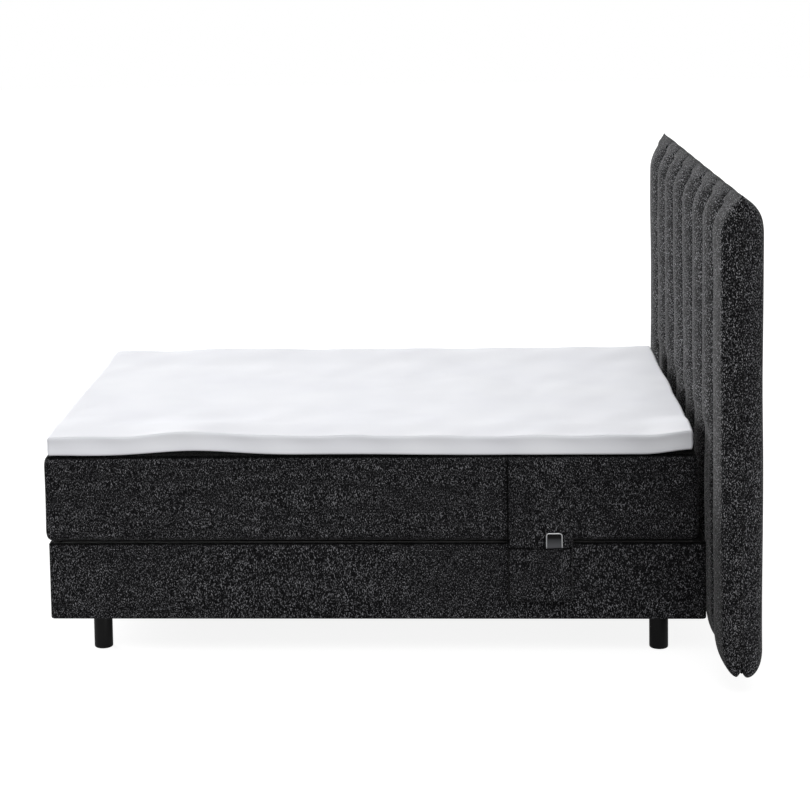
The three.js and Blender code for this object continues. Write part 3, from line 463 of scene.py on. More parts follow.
keptFinishes = {
    "planedSpruce": ["base_rail_left", "base_rail_right", "base_rail_foot", "base_rail_head", "bearer_foot",
                     "bearer_seat_foot", "bearer_seat_head", "bearer_head", "corner_block_foot_right",
                     "corner_block_foot_left", "corner_block_head_right", "corner_block_head_left"],
    "blackStainedBirchPlywood": ["calf_deck", "thigh_deck", "seat_deck", "head_deck", "headboard_core"],
    "zincPlatedSteel": ["thigh_hinge_pin", "head_hinge_pin", "head_track", "thigh_track", "tube_plate_right",
                        "tube_plate_left", "headboard_bracket"],
    "blackPowderCoat": ["head_lift_frame", "foot_lift_frame", "control_arms"],
    "naturalNylon": ["head_roller_right", "head_roller_left", "foot_roller_right", "foot_roller_left",
                     "head_thrust_block", "foot_thrust_block"],
    "mouldedBlackPolyamide": ["drive_housing", "motor_unit"],
    "softTouchRubberKeys": ["head_key", "foot_key"],
    "blackNonwovenLining": ["bottom_lining"],
}
for finish, names in keptFinishes.items():
    for name in names:
        node = frame["nodes"][name]
        node.data.materials.clear()
        node.data.materials.append(materialOf[finish])


# Padded slabs: the mattress and the topper

slabCap = {"steps": 5, "reach": 0.5}
longWaves = {"first": 3.0, "growth": 2.2, "fade": 0.6}

headLift = joint("head_section_lift")
headHinge, headLimit = headLift["pos_m"], math.radians(headLift["range_deg"][1])
thighHinge, kneeHinge = joint("thigh_section_lift")["pos_m"], joint("calf_section_hinge")["pos_m"]
mattressLow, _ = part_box("calf_mattress")
_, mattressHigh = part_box("head_mattress")
topperLow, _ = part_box("calf_topper")
_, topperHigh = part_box("head_topper")

folds = {"seatCut": headHinge[0] - 0.15, "thighCut": kneeHinge[0] + 0.07,
         "headStart": headHinge[0], "headEnd": headHinge[0] + 0.42, "headSlant": 0.16,
         "thighStart": thighHinge[0] + 0.01, "thighEnd": kneeHinge[0] + 0.08,
         "kneeStart": kneeHinge[0] + 0.06, "kneeEnd": kneeHinge[0] - 0.10}


def slabRing(slab):
    # outline across the bed, walked from the near end of the underside: flat runs, quarter
    # circles at the corners, and sides drawn in by a half sine. Returns the points' y and z,
    # and the y and z of their outward directions.
    half, low, high, corner = (slab[key] for key in ("half", "low", "high", "corner"))
    flat, rise = half - corner, high - low - 2 * corner
    parts = []

    def addRun(*columns):
        parts.append(np.stack(np.broadcast_arrays(*columns), -1))

    def addCorner(y, z, start):
        turn = start + np.linspace(0, math.pi / 2, slab["cornerSteps"] + 1)
        addRun(y + corner * np.cos(turn), z + corner * np.sin(turn), np.cos(turn), np.sin(turn))

    t = np.linspace(0, 1, slab["topSteps"] + 1)[1:-1]
    s = np.linspace(0, 1, slab["sideSteps"] + 1)[1:-1]
    drawn = slab["draw"] * np.sin(math.pi * s)
    addRun(-flat + 2 * flat * t, low, 0, -1)
    addCorner(flat, low + corner, -math.pi / 2)
    addRun(half - drawn, low + corner + rise * s, 1, 0)
    addCorner(flat, high - corner, 0)
    addRun(flat - 2 * flat * t, high, 0, 1)
    addCorner(-flat, high - corner, math.pi / 2)
    addRun(-half + drawn, high - corner - rise * s, -1, 0)
    addCorner(-flat, low + corner, math.pi)
    return np.concatenate(parts).T


def slabPoints(slab, wave):
    # stations along X carry the ring; near each end the ring shrinks on a quarter circle, then
    # in shallow steps of a crown that levels out, and the level middle of the end face is a fan
    y, z, outY, outZ = slabRing(slab)
    mid, halfHigh = (slab["low"] + slab["high"]) / 2, (slab["high"] - slab["low"]) / 2
    corner, length = slab["corner"], slab["end"] - slab["start"]
    turn = np.linspace(0, math.pi / 2, slab["cornerSteps"] + 1)
    back = corner * (1 - np.cos(turn))
    inset = corner * (1 - np.sin(turn))
    shrink = np.arange(slabCap["steps"], 0, -1) / slabCap["steps"]
    capInset = corner + slabCap["reach"] * (halfHigh - corner) * shrink
    capBack = -slab["crown"] * (1 - (1 - shrink) ** 2)
    inner = np.linspace(corner, length - corner, slab["lengthSteps"] + 1)[1:-1]
    along = np.concatenate([capBack, back, inner, length - back[::-1], length - capBack[::-1]])
    insets = np.concatenate([capInset, inset, np.zeros(len(inner)), inset[::-1], capInset[::-1]])
    x = slab["start"] + along[:, None] + 0 * y[None, :]
    scaleY = 1 - insets[:, None] / slab["half"]
    scaleZ = 1 - insets[:, None] / halfHigh
    points = np.stack([x, y[None, :] * scaleY, mid + (z[None, :] - mid) * scaleZ], -1)
    normals = np.stack([0 * x, np.broadcast_to(outY, x.shape), np.broadcast_to(outZ, x.shape)], -1)
    return wave(points, normals, slab)


def slabPieces(name, points, material):
    # the slab is cut across at the folds, foot end first; a cut end is closed by a fan and creased
    stations = points[:, :, 0].mean(1)
    cuts = [int(np.argmin(abs(stations - folds[cut]))) for cut in ("thighCut", "seatCut")]
    edges = [0] + cuts + [len(points) - 1]
    pieces = []
    for section, a, b in zip(("calf", "thigh", "head"), edges[:-1], edges[1:]):
        part = points[a:b + 1]
        rows, columns = part.shape[:2]
        flat = np.concatenate([part.reshape(-1, 3), [part[0].mean(0), part[-1].mean(0)]])
        piece = meshFrom(f"{name}_{section}", flat, tubeFaces(rows, columns))
        rim = np.zeros(len(flat), bool)
        rim[:columns] = a > 0
        rim[(rows - 1) * columns:rows * columns] = b < len(points) - 1
        markSharp(piece, rim)
        pieces.append(finishPiece(piece, material, None))
    return pieces


def softWaves(points, count, seed, amount):
    # a sum of a few long sine waves, the same each run: the loose lie of a padded surface
    local = np.random.default_rng(seed)
    total = np.zeros(points.shape[:2])
    for k in range(count):
        kx, ky, kz = local.normal(0, 1, 3) * (longWaves["first"] + longWaves["growth"] * k)
        phase = local.uniform(0, 2 * math.pi)
        wave = np.sin(kx * points[..., 0] + ky * points[..., 1] + kz * points[..., 2] + phase)
        total += wave / (1 + longWaves["fade"] * k)
    return amount * total / count


def foldPieces(pieces, prefix):
    # foot end first, each piece is baked into place and the CAD pieces it stands for are hidden
    calf, thigh, head = pieces
    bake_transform(calf)
    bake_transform(thigh)
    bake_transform(head)
    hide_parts(f"calf_{prefix}")
    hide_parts(f"thigh_{prefix}")
    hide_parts(f"head_{prefix}", f"seat_{prefix}")


mattress = {"start": mattressLow.x, "end": mattressHigh.x, "half": mattressHigh.y, "low": mattressLow.z,
            "high": mattressHigh.z, "corner": 0.020, "draw": 0.005, "crown": 0.004, "sideSteps": 12,
            "topSteps": 40, "cornerSteps": 7, "lengthSteps": 150, "waves": 9, "seed": 5, "swell": 0.006,
            "facesDown": -0.9, "hollowHalf": 0.675, "hollowBorder": 0.03, "hollowEase": 0.02,
            "hollowTries": 12}


def deckRoom(ahead):
    # how far the underside is hollowed past the head hinge, so that it just meets the raised deck.
    # A point at height h over the hinge has the fold's weight w; on the deck raised by a it stands
    # w h + (1 - w) (h cos a - x sin a) over the deck's plane, which is kept at the rest height.
    rest = mattressLow.z - headHinge[2]
    reach = folds["headEnd"] - folds["headStart"]
    height = np.full(ahead.shape, rest)
    for _ in range(mattress["hollowTries"]):
        along = (reach * ahead + folds["headSlant"] * height) / (reach ** 2 + folds["headSlant"] ** 2)
        stay = 1 - smoothstep(along)
        height = (rest + stay * ahead * math.sin(headLimit)) / (1 - stay + stay * math.cos(headLimit))
    return np.where(ahead > 0, height - rest, 0) * smoothstep(ahead / mattress["hollowEase"])


def mattressWave(points, normals, slab):
    # the sides swell and sink by a couple of millimetres, and the underside clears the head deck
    wave = softWaves(points, slab["waves"], slab["seed"], slab["swell"])
    points = points + normals * np.abs(normals[..., 1:2]) * wave[..., None]
    inside = smoothstep((slab["hollowHalf"] - np.abs(points[..., 1])) / slab["hollowBorder"])
    under = (normals[..., 2] < slab["facesDown"]) * inside
    points[..., 2] += under * deckRoom(points[..., 0] - headHinge[0])
    return points


# painted shade: the cloth is darkened along its top edge, in the crease under the topper
mattressMaterial = tweedCloth("charcoalMelangeTweedBordered", tweed,
                              [(2, mattressHigh.z - 0.0045, 0.0030, 0.85),
                               (2, mattressHigh.z + 0.0005, 0.0040, 0.85)])
mattressParts = slabPieces("mattress", slabPoints(mattress, mattressWave), mattressMaterial)
foldPieces(mattressParts, "mattress")
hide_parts("head_fold_padding", "thigh_fold_padding")
print("mattress ready")

topper = {"start": topperLow.x, "end": topperHigh.x, "half": topperHigh.y, "low": topperLow.z,
          "high": topperHigh.z, "corner": 0.007, "draw": 0.003, "crown": 0.003, "sideSteps": 6,
          "topSteps": 90, "cornerSteps": 6, "lengthSteps": 260,
          "liftFrom": 0.42, "liftFade": 0.22, "farShare": 0.5, "farRise": 0.005, "farSlope": 0.003,
          "headFrom": 1.85, "headFade": 0.16, "headLift": 0.020, "headFarShare": 0.15,
          "liftRipple": 0.25, "liftRipples": 9, "headBulge": 0.010, "bulgeRipple": 0.2,
          "bulgeRipples": 14, "waves": 10, "seed": 8, "swell": 0.012, "fine": 0.0012,
          "fineAlong": 23, "fineAcross": 11, "fineBend": 3, "fineBends": 5, "edgeThin": 0.007,
          "thinFrom": 0.55, "thinFade": 0.13, "thinHeight": 0.45, "thinHeightFade": 0.5,
          "sideWaves": 8, "sideSeed": 21, "sideSwell": 0.007, "sideFine": 0.0015,
          "sideFineAlong": 31, "sideFineLean": 2}
# the near edge's swells: where each one peaks from the foot end, its half width and its rise
topperLift = [(0.02, 0.12, 0.003), (0.46, 0.19, 0.0165), (0.93, 0.25, 0.004)]


def bell(x, centre, width):
    return np.exp(-((x - centre) / width) ** 2)


def topperWave(points, normals, slab):
    # the edges lift off the mattress in long low swells, a little at the foot end and more at
    # the head end, and the top lies in faint waves of its own
    x, y = points[..., 0], points[..., 1]
    near = y < 0
    height = (points[..., 2] - slab["low"]) / (slab["high"] - slab["low"])
    fromFoot = x - slab["start"]
    nearEdge = smoothstep((np.abs(y) - slab["liftFrom"]) / slab["liftFade"])
    lift = sum(rise * bell(fromFoot, centre, width) for centre, width, rise in topperLift)
    lift = np.where(near, lift, slab["farShare"] * lift + slab["farRise"] + slab["farSlope"] * fromFoot)
    atHead = smoothstep((fromFoot - slab["headFrom"]) / slab["headFade"])
    liftRipple = 1 - slab["liftRipple"] + slab["liftRipple"] * np.sin(slab["liftRipples"] * y)
    lift = lift + slab["headLift"] * atHead * liftRipple * np.where(near, 1.0, slab["headFarShare"])
    bulgeRipple = 1 - slab["bulgeRipple"] + slab["bulgeRipple"] * np.sin(slab["bulgeRipples"] * y)
    points[..., 0] += slab["headBulge"] * atHead * (1 - (y / slab["half"]) ** 2) * bulgeRipple
    wave = softWaves(np.stack([x, y, 0 * x], -1), slab["waves"], slab["seed"], slab["swell"])
    bend = slab["fineBend"] * np.sin(slab["fineBends"] * y)
    fine = slab["fine"] * np.sin(slab["fineAlong"] * x + bend) * np.sin(slab["fineAcross"] * y)
    thin = slab["edgeThin"] * smoothstep((-y - slab["thinFrom"]) / slab["thinFade"]) - np.abs(wave) - fine
    upper = smoothstep((height - slab["thinHeight"]) / slab["thinHeightFade"])
    points[..., 2] += np.maximum(lift, 0) * nearEdge - thin * upper
    side = (softWaves(points, slab["sideWaves"], slab["sideSeed"], slab["sideSwell"])
            + slab["sideFine"] * np.sin(slab["sideFineAlong"] * x + slab["sideFineLean"] * height))
    points[..., 1] += normals[..., 1] * side
    return points


topperParts = slabPieces("topper", slabPoints(topper, topperWave), knitMaterial)
foldPieces(topperParts, "topper")
print("topper ready")


# Base cover: one sleeve of tweed round the rails

baseLow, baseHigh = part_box("base_cover_right")
_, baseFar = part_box("base_cover_left")
cover = {"x0": baseLow.x - 0.002, "x1": baseHigh.x + 0.003, "y0": baseLow.y, "y1": baseFar.y,
         "z0": baseLow.z, "z1": baseHigh.z, "corner": 0.014, "edge": 0.005, "turnIn": 0.040,
         "overRails": 0.0024, "cornerSteps": 8, "edgeSteps": 5, "runSteps": 60, "sideSteps": 8,
         "waves": 8, "seed": 3, "swell": 0.003, "cloth": 0.002}


def baseCover():
    # a rounded rectangle path carries an upright profile: turned in below, up the side with a
    # soft round edge at both ends, and turned in over the rails
    path, out = roundedPath(cover["x0"], cover["x1"], cover["y0"], cover["y1"], cover["corner"],
                            cover["cornerSteps"], cover["runSteps"])
    low, top, edge, turnIn = cover["z0"], cover["z1"] + cover["overRails"], cover["edge"], cover["turnIn"]
    turn = np.linspace(0, math.pi / 2, cover["edgeSteps"] + 1)
    side = np.linspace(0, 1, cover["sideSteps"] + 1)[1:-1]
    back, rise = -edge + edge * np.cos(turn), edge * np.sin(turn)
    depth = np.concatenate([[-turnIn], back[::-1], 0 * side, back, [-turnIn]])
    height = np.concatenate([[low], low + edge - rise[::-1], low + edge + (top - low - 2 * edge) * side,
                             top - edge + rise, [top]])
    points = np.zeros((len(depth), len(path), 3))
    points[..., :2] = path[None] + out[None] * depth[:, None, None]
    points[..., 2] = height[:, None]
    swell = softWaves(points, cover["waves"], cover["seed"], cover["swell"]) * np.isclose(depth, 0)[:, None]
    points[..., :2] += out[None] * swell[..., None]
    piece = meshFrom("base_cover", points.reshape(-1, 3), gridFaces(len(depth), len(path), wrapColumns=True))
    solid = piece.modifiers.new("clothThickness", "SOLIDIFY")
    solid.thickness = cover["cloth"]
    solid.offset = -1
    return piece


# painted shade: the cover is darkened along its top edge, in the gap under the mattress
coverMaterial = tweedCloth("charcoalMelangeTweedPiped", tweed, [(2, baseHigh.z + 0.004, 0.007, 0.92)])
finishPiece(baseCover(), coverMaterial, "base",
            replaced=["base_cover_left", "base_cover_right", "base_cover_foot", "base_cover_head"])
print("base cover ready")


# Headboard pads

frontLow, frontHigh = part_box("headboard_front_pad")
backLow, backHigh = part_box("headboard_back_pad")
coreLow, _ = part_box("headboard_core")
padHang = 0.030
pad = {"half": frontHigh.y - 0.008, "low": frontLow.z - padHang, "high": frontHigh.z,
       "seam": (frontHigh.x + backLow.x) / 2 - 0.001, "seamGap": 0.0005,
       "coreInset": coreLow.z - frontLow.z + padHang, "coreOverlap": 0.008, "coreStep": 0.006,
       "channels": 8, "groove": 0.041, "endShare": 0.35, "archPower": 2.0, "archFlat": 0.75,
       "grooveTop": 0.024, "grooveTopFade": 0.020, "grooveFoot": 0.006, "grooveFootFade": 0.03,
       "ridgeDip": 0.012, "dipFade": 0.10, "ear": 0.004, "earWide": 0.022, "earFade": 0.03,
       "tuckDrop": 0.030, "tuckDepth": 0.036, "tuckSize": 0.013, "leastDepth": 0.003,
       "bottomFlat": 1.2, "footRound": 0.055, "sewnLift": 0.020, "lobe": 0.010,
       "bedHalf": 0.78, "bedFadeAcross": 0.06, "bedFadeUp": 0.05, "waves": 10, "seed": 31,
       "swell": 0.012, "channelSteps": 28, "endSteps": 12, "rows": 160, "rowCrowding": 0.9}
frontPad = {"face": frontHigh.x, "crest": frontLow.x - 0.002, "proud": 0.0085, "topReach": 0.125,
            "topPower": 2.0, "bottomReach": 0.125, "endReach": 0.032, "bedTop": 0.76, "way": -1}
backPad = {"face": backLow.x, "crest": backHigh.x, "proud": 0.011, "topReach": 0.135,
           "topPower": 3.6, "bottomReach": 0.085, "endReach": 0.060, "bedTop": 0.0, "way": 1}


def easedLine(a, b, count, crowding=0.75):
    # points from a to b that crowd towards both ends
    t = np.linspace(0, 1, count + 1)
    eased = (1 - np.cos(math.pi * t)) / 2
    return a + (b - a) * (crowding * eased + (1 - crowding) * t)


def quarter(distance, reach):
    # height of a quarter ellipse, 0 at its foot and 1 past its reach
    t = np.clip(distance / reach, 0, 1)
    return np.sqrt(1 - (1 - t) ** 2)


def shoulder(distance, reach, power):
    # 1 - (1 - t) ^ power: leaves the sewn edge at a slant and levels out at its reach
    t = np.clip(distance / reach, 0, 1)
    return 1 - (1 - t) ** power


def padSurface(side):
    # outer and inner grids of one pad. Its depth over the edge seam is the product of four
    # shoulders: slanted at the top, and round at the ends and below. The front pad's channels
    # are arches that fade out just under the ridge and are tucked in there.
    half, low, high, seam, way = pad["half"], pad["low"], pad["high"], pad["seam"], side["way"]
    width = 2 * half / pad["channels"]
    arc = side["endReach"] * (1 - np.cos(np.linspace(0, math.pi / 2, pad["endSteps"] + 1)[:-1]))
    starts = [max(k * width, side["endReach"]) for k in range(pad["channels"] // 2)]
    runs = [easedLine(start, (k + 1) * width, pad["channelSteps"])[:-1] for k, start in enumerate(starts)]
    left = np.concatenate([arc] + runs) - half
    y = np.concatenate([left, [0.0], -left[::-1]])
    z = easedLine(low, high, pad["rows"], pad["rowCrowding"])
    Y, Z = np.meshgrid(y, z)
    across = np.clip(np.abs(((Y + half) / width) % 1 * 2 - 1), 0, 1)
    arch = (1 - across ** pad["archPower"]) ** pad["archFlat"]
    fromEnd = half - np.abs(Y)
    atEnd = fromEnd < width / 2
    below, above = high - Z, Z - low
    share = np.clip(above / side["bottomReach"], 0, 1)
    turn = share * math.pi / 2
    bottom = np.sin(turn)
    top = shoulder(below, side["topReach"], side["topPower"])
    ends = quarter(fromEnd, side["endReach"])
    # the bed presses the front padding back where it stands against it
    pressed = (smoothstep((pad["bedHalf"] - np.abs(Y)) / pad["bedFadeAcross"])
               * smoothstep((side["bedTop"] - Z) / pad["bedFadeUp"]))
    full = way * (side["crest"] - seam) + side["proud"] * (1 - pressed)
    depth = full * top * bottom * ends
    if way < 0:
        fade = (smoothstep((below - pad["grooveTop"]) / pad["grooveTopFade"])
                * smoothstep((above - pad["grooveFoot"]) / pad["grooveFootFade"]))
        sewn = pad["groove"] * (1 - arch) * fade * np.where(atEnd, pad["endShare"], 1.0)
        toGroove = width / 2 * (1 - across)
        toTuck = toGroove ** 2 + (below - pad["tuckDrop"]) ** 2
        tuck = pad["tuckDepth"] * np.exp(-toTuck / pad["tuckSize"] ** 2)
        depth = np.maximum(depth - sewn - np.where(atEnd, 0, tuck), np.minimum(depth, pad["leastDepth"]))
    soft = softWaves(np.stack([Y, Z, 0 * Y], -1), pad["waves"], pad["seed"] + way, pad["swell"])
    rim = seam + way * pad["seamGap"]
    X = rim + way * (depth + soft * ends * top * bottom)
    # the sewn edge dips between the channels, stands up at the corners and is drawn up below,
    # where the pads hang in a round lobe each side of it
    atTop = smoothstep((pad["dipFade"] - below) / pad["dipFade"])
    dips = np.where(atEnd, 0, pad["ridgeDip"] * (1 - arch)) * atTop
    corner = (pad["ear"] * np.exp(-(fromEnd / pad["earWide"]) ** 2)
              * smoothstep((pad["earFade"] - below) / pad["earFade"]))
    under = np.where(share < 1, low + side["bottomReach"] * (1 - np.cos(turn)) ** pad["bottomFlat"], Z)
    rounded = pad["footRound"] * (1 - quarter(fromEnd, pad["footRound"])) * (1 - share) ** 2
    seamZ = under - dips + corner + rounded
    lift = pad["sewnLift"] * (1 - share) ** 2
    outerZ = seamZ + lift * np.exp(-(depth / pad["lobe"]) ** 2)
    # the inner face lies on the board, and steps over the board's edge to the seam
    edge = np.minimum(fromEnd, np.minimum(below, above))
    onBoard = smoothstep((edge - pad["coreInset"] + pad["coreOverlap"]) / pad["coreStep"])
    inner = np.stack([rim + (side["face"] - rim) * onBoard, Y, seamZ + lift], -1)
    return np.stack([X, Y, outerZ], -1), inner


def closePanel(name, outer, inner, way):
    # outer and inner grids are joined along their common rim
    rows, columns = outer.shape[:2]
    first = rows * columns
    faces = gridFaces(rows, columns) + [f[::-1] for f in gridFaces(rows, columns, first=first)]
    loop = ([c for c in range(columns - 1)] + [r * columns + columns - 1 for r in range(rows - 1)]
            + [(rows - 1) * columns + c for c in range(columns - 1, 0, -1)]
            + [r * columns for r in range(rows - 1, 0, -1)])
    faces += [[first + a, first + b, b, a] for a, b in zip(loop, loop[1:] + loop[:1])]
    if way < 0:
        faces = [f[::-1] for f in faces]
    return meshFrom(name, np.concatenate([outer.reshape(-1, 3), inner.reshape(-1, 3)]), faces)


frontPiece = finishPiece(closePanel("headboard_front", *padSurface(frontPad), frontPad["way"]),
                         headboardLitMaterial, "base", replaced=["headboard_front_pad"])
backPiece = finishPiece(closePanel("headboard_back", *padSurface(backPad), backPad["way"]),
                        tweedMaterial, "base", replaced=["headboard_back_pad"])
print("headboard ready")


# Legs: turned beech in black lacquer, with a bolt up into the base

leg = {"radius": 0.0295, "edge": 0.005, "sides": 64, "edgeSteps": 6, "soleRing": 0.004,
       "straightFrom": 0.03, "straightTo": 0.004, "bevelDown": 0.001, "bevelIn": 0.0006,
       "topIn": 0.002, "underBase": 0.0003, "bolt": 0.005}


def turnedPiece(name, centre, profile, sides):
    # a profile of radius and height spun round an upright axis, closed on the axis at both ends
    turn = np.linspace(0, 2 * math.pi, sides, endpoint=False)
    r, z = profile[:, 0], profile[:, 1]
    points = np.stack([centre[0] + r[:, None] * np.cos(turn), centre[1] + r[:, None] * np.sin(turn),
                       z[:, None] + 0 * turn], -1)
    ends = [[centre[0], centre[1], z[0]], [centre[0], centre[1], z[-1]]]
    return meshFrom(name, np.concatenate([points.reshape(-1, 3), ends]), tubeFaces(len(profile), sides))


def makeLeg(name):
    low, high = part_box(name)
    centre = ((low.x + high.x) / 2, (low.y + high.y) / 2)
    top = baseLow.z - leg["underBase"]
    r, e = leg["radius"], leg["edge"]
    turn = np.linspace(0, math.pi / 2, leg["edgeSteps"] + 1)
    sole = [[leg["soleRing"], low.z], [r - e - leg["soleRing"], low.z]]
    foot = np.stack([r - e + e * np.sin(turn), low.z + e - e * np.cos(turn)], -1)
    body = [[r, low.z + leg["straightFrom"]], [r, top - leg["straightTo"]],
            [r - leg["bevelIn"], top - leg["bevelDown"]], [r - leg["topIn"], top]]
    bolt = [[leg["bolt"], top], [leg["bolt"], high.z]]
    piece = turnedPiece(f"{name}_turned", centre, np.concatenate([sole, foot, body, bolt]), leg["sides"])
    finishPiece(piece, materialOf["blackSatinLacquer"], "base", replaced=[name])


for end in ("foot", "head"):
    for side in ("right", "left"):
        makeLeg(f"leg_{end}_{side}")
print("legs ready")


# Side flap with its pocket

flapLow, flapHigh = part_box("side_flap")
controlLow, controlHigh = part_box("hand_control")
panelSteps = {"across": 60, "up": 110}
flap = {"x0": flapLow.x + 0.009, "x1": flapHigh.x + 0.005, "z0": flapLow.z, "z1": flapHigh.z + 0.016,
        "thick": 0.0040, "back": flapHigh.y - 0.0002, "curlFrom": flapHigh.z, "curl": 0.022,
        "ripple": 0.0007, "ripplesAcross": 9, "ripplesUp": 7, "rippleStart": 2, "flare": 0.0012,
        "flareTop": 0.35, "flareFade": 0.25, "hem": 0.010, "hemTo": 0.42, "hemFade": 0.3,
        "farHem": 0.4, "farHemFrom": 0.88, "farHemFade": 0.1, "bendFrom": headHinge[0] + 0.026,
        "bendTo": headHinge[0] + 0.29}
pocketInset = 0.0005
pocket = {"x0": flap["x0"] + pocketInset, "x1": flap["x1"] - pocketInset, "z0": flap["z0"] + pocketInset,
          "z1": flapLow.z + 0.174, "thick": 0.0024, "face": flapLow.y + 0.0026, "gap": 0.0006,
          "side": 0.007, "ripple": 0.0007, "ripplesAcross": 8, "ripplesUp": 6, "sag": 0.0035,
          "sagFrom": 0.375}


def clothPanel(name, panel, depthAt):
    # an upright panel facing -Y: its face follows depthAt(x share, z share, z), its edge is rounded
    U, W = np.meshgrid(easedLine(0, 1, panelSteps["across"]), easedLine(0, 1, panelSteps["up"]))
    X = panel["x0"] + (panel["x1"] - panel["x0"]) * U
    Z = panel["z0"] + (panel["z1"] - panel["z0"]) * W
    edge = np.minimum.reduce([X - panel["x0"], panel["x1"] - X, Z - panel["z0"], panel["z1"] - Z])
    roll = quarter(edge, panel["thick"])
    Y, Z = depthAt(U, W, Z)
    outer = np.stack([X, Y - panel["thick"] * roll, Z], -1)
    inner = np.stack([X, Y, Z], -1)
    return closePanel(name, outer, inner, 1)


def flapDepth(U, W, Z):
    # hangs close to the mattress side with a faint ripple, stands off it at the hems and the
    # foot, and turns in over its top edge
    over = np.clip(Z - flap["curlFrom"], 0, flap["curl"])
    turned = flap["curl"] - np.sqrt(flap["curl"] ** 2 - over ** 2)
    waves = np.sin(flap["ripplesAcross"] * U + flap["rippleStart"]) * np.sin(flap["ripplesUp"] * W)
    ripple = flap["ripple"] * waves + flap["flare"] * smoothstep((flap["flareTop"] - W) / flap["flareFade"])
    hem = flap["hem"] * (smoothstep((flap["hemTo"] - U) / flap["hemFade"])
                         + flap["farHem"] * smoothstep((U - flap["farHemFrom"]) / flap["farHemFade"]))
    return flap["back"] + turned - ripple - hem, Z


def pocketDepth(U, W, Z):
    # a pouch with narrow sides: the face stands off the flap by the control's thickness, rounds
    # back to the flap at its sides and bottom, and sags a little at the open mouth
    width, tall = flap["x1"] - flap["x0"], pocket["z1"] - flap["z0"]
    sides = quarter(np.minimum(U, 1 - U) * width, pocket["side"]) * quarter(W * tall, pocket["side"])
    fromFlap = flap["back"] - flap["thick"] - pocket["gap"]
    waves = np.sin(pocket["ripplesAcross"] * U) * np.sin(pocket["ripplesUp"] * W)
    out = fromFlap - pocket["face"] + pocket["ripple"] * waves
    atMouth = smoothstep((W - pocket["sagFrom"]) / (1 - pocket["sagFrom"]))
    return fromFlap - out * sides, Z - pocket["sag"] * np.sin(math.pi * U) * atMouth


# painted shade: the flap is darkened along its left edge
flapMaterial = tweedCloth("charcoalMelangeTweedHemmed", tweed, [(0, flap["x0"], 0.0055, 0.85)])
flapPiece = finishPiece(clothPanel("side_flap_cloth", flap, flapDepth), flapMaterial, None,
                        replaced=["side_flap"])
# painted shade: the pocket is darkened at its mouth, along its left edge and at its foot, with a fainter
# darker line near its right side
pocketMaterial = tweedCloth("charcoalMelangeTweedSewn", tweed,
                            [(2, pocket["z1"] - 0.0010, 0.0050, 0.85), (0, flap["x1"] - 0.009, 0.0018, 0.6),
                             (0, flap["x0"], 0.0065, 0.85), (2, flap["z0"] + 0.002, 0.003, 0.6)])
pocketPiece = finishPiece(clothPanel("control_pocket_cloth", pocket, pocketDepth), pocketMaterial,
                          None)
# both are baked into place
for hung in (flapPiece, pocketPiece):
    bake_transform(hung)
print("flap and pocket ready")


# Hand control: smoked acrylic face in a silver frame

# an edge lists its steps as a distance from the case's front or back and an inset
handset = {"corner": 0.0075, "cornerSteps": 8, "recess": 0.0030, "rim": 0.0017, "rimSides": 12,
           "rimAhead": 0.0009, "rimFlat": 0.8, "frontEdge": [(0.0012, 0.0008), (0.0020, 0.0006)],
           "backEdge": [(0.004, 0.0002), (0.0012, 0.0012), (0.0, 0.004)], "faceInset": 1.5,
           "faceProud": 0.0004, "faceShares": [1.0, 0.97, 0.9, 0.7, 0.4, 0.1], "dish": 0.0003}
middleX, middleZ = (controlLow.x + controlHigh.x) / 2, (controlLow.z + controlHigh.z) / 2


def controlOutline(inset, corner=handset["corner"]):
    # the case's outline seen from the front, drawn in by an inset: x and z of each point
    path, _ = roundedPath(controlLow.x + inset, controlHigh.x - inset, controlLow.z + inset,
                          controlHigh.z - inset, corner, handset["cornerSteps"])
    return path


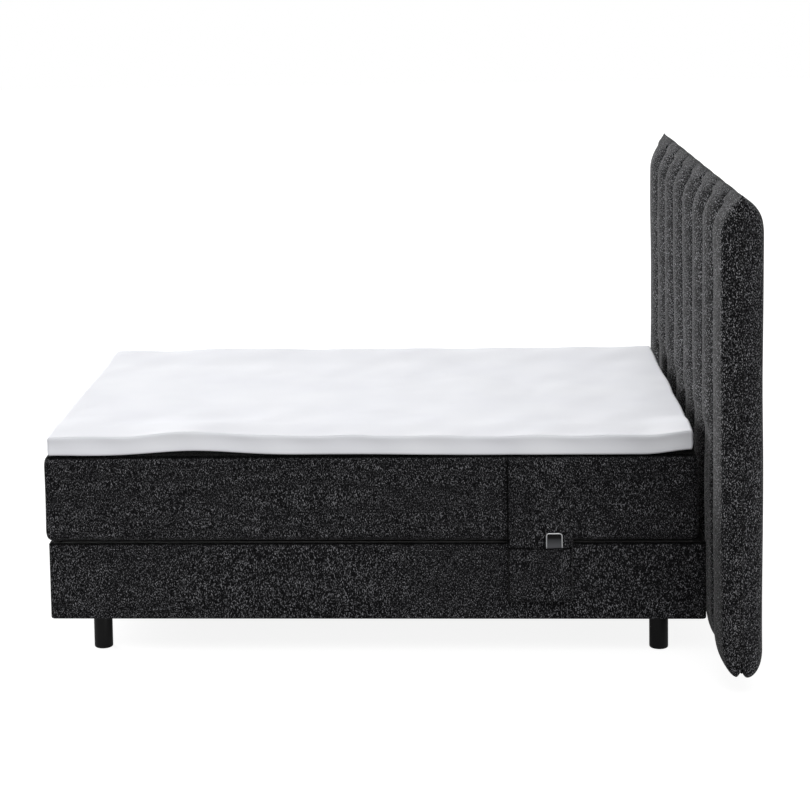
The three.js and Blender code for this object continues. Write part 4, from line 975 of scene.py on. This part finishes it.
def handsetBody():
    # the outline drawn through the case's depth, smaller towards the rounded back edge
    front = controlLow.y + handset["recess"]
    levels = [(front, handset["rim"])]
    levels += [(controlLow.y + depth, inset) for depth, inset in handset["frontEdge"]]
    levels += [(controlHigh.y - depth, inset) for depth, inset in handset["backEdge"]]
    loops = [np.insert(controlOutline(inset), 1, y, 1) for y, inset in levels]
    ends = [[middleX, y, middleZ] for y in (front, controlHigh.y)]
    faces = [f[::-1] for f in tubeFaces(len(levels), len(loops[0]))]
    return meshFrom("hand_control_case", np.concatenate(loops + [ends]), faces)


def handsetFace():
    # the smoked panel inside the frame: the frame's outline shrunk in steps, dished by a hair
    loop = controlOutline(handset["rim"] * handset["faceInset"], handset["corner"] - handset["rim"] / 2)
    middle = np.array([middleX, middleZ])
    share = np.array(handset["faceShares"])
    spread = middle + (loop - middle) * share[:, None, None]
    depth = controlLow.y + handset["recess"] - handset["faceProud"] + handset["dish"] * (1 - share ** 2)
    points = np.stack([spread[..., 0], np.broadcast_to(depth[:, None], spread.shape[:2]), spread[..., 1]], -1)
    count, last = len(loop), (len(share) - 1) * len(loop)
    faces = gridFaces(len(share), count, wrapColumns=True)
    faces += [[len(share) * count, last + i, last + (i + 1) % count] for i in range(count)]
    flat = np.concatenate([points.reshape(-1, 3), [[middleX, depth[-1], middleZ]]])
    return meshFrom("hand_control_panel", flat, faces)


def handsetRim():
    # a small round section carried round the face's outline
    r = handset["rim"]
    loop = controlOutline(r)
    ahead = np.roll(loop, -1, 0) - np.roll(loop, 1, 0)
    out = np.stack([ahead[:, 1], -ahead[:, 0]], -1)
    out /= np.linalg.norm(out, axis=1)[:, None]
    turn = np.linspace(0, 2 * math.pi, handset["rimSides"], endpoint=False)
    points = np.zeros((len(loop), len(turn), 3))
    points[..., 0] = loop[:, None, 0] + out[:, None, 0] * r * np.cos(turn)
    points[..., 2] = loop[:, None, 1] + out[:, None, 1] * r * np.cos(turn)
    points[..., 1] = controlLow.y + handset["rimAhead"] + r * handset["rimFlat"] * np.sin(turn)
    count = len(loop) * len(turn)
    faces = [[i % count for i in f] for f in gridFaces(len(loop) + 1, len(turn), wrapColumns=True)]
    return meshFrom("hand_control_rim", points.reshape(-1, 3), faces)


finishPiece(handsetBody(), materialOf["blackHandsetPlastic"], "hand_control",
            replaced=["hand_control"])
# painted shade darkens the panel under its top edge
finishPiece(handsetFace(), smokedPanelShadedTop("smokedAcrylicPanel", controlHigh.z), "hand_control")
finishPiece(handsetRim(), materialOf["satinSilverTrim"], "hand_control")
print("hand control ready")
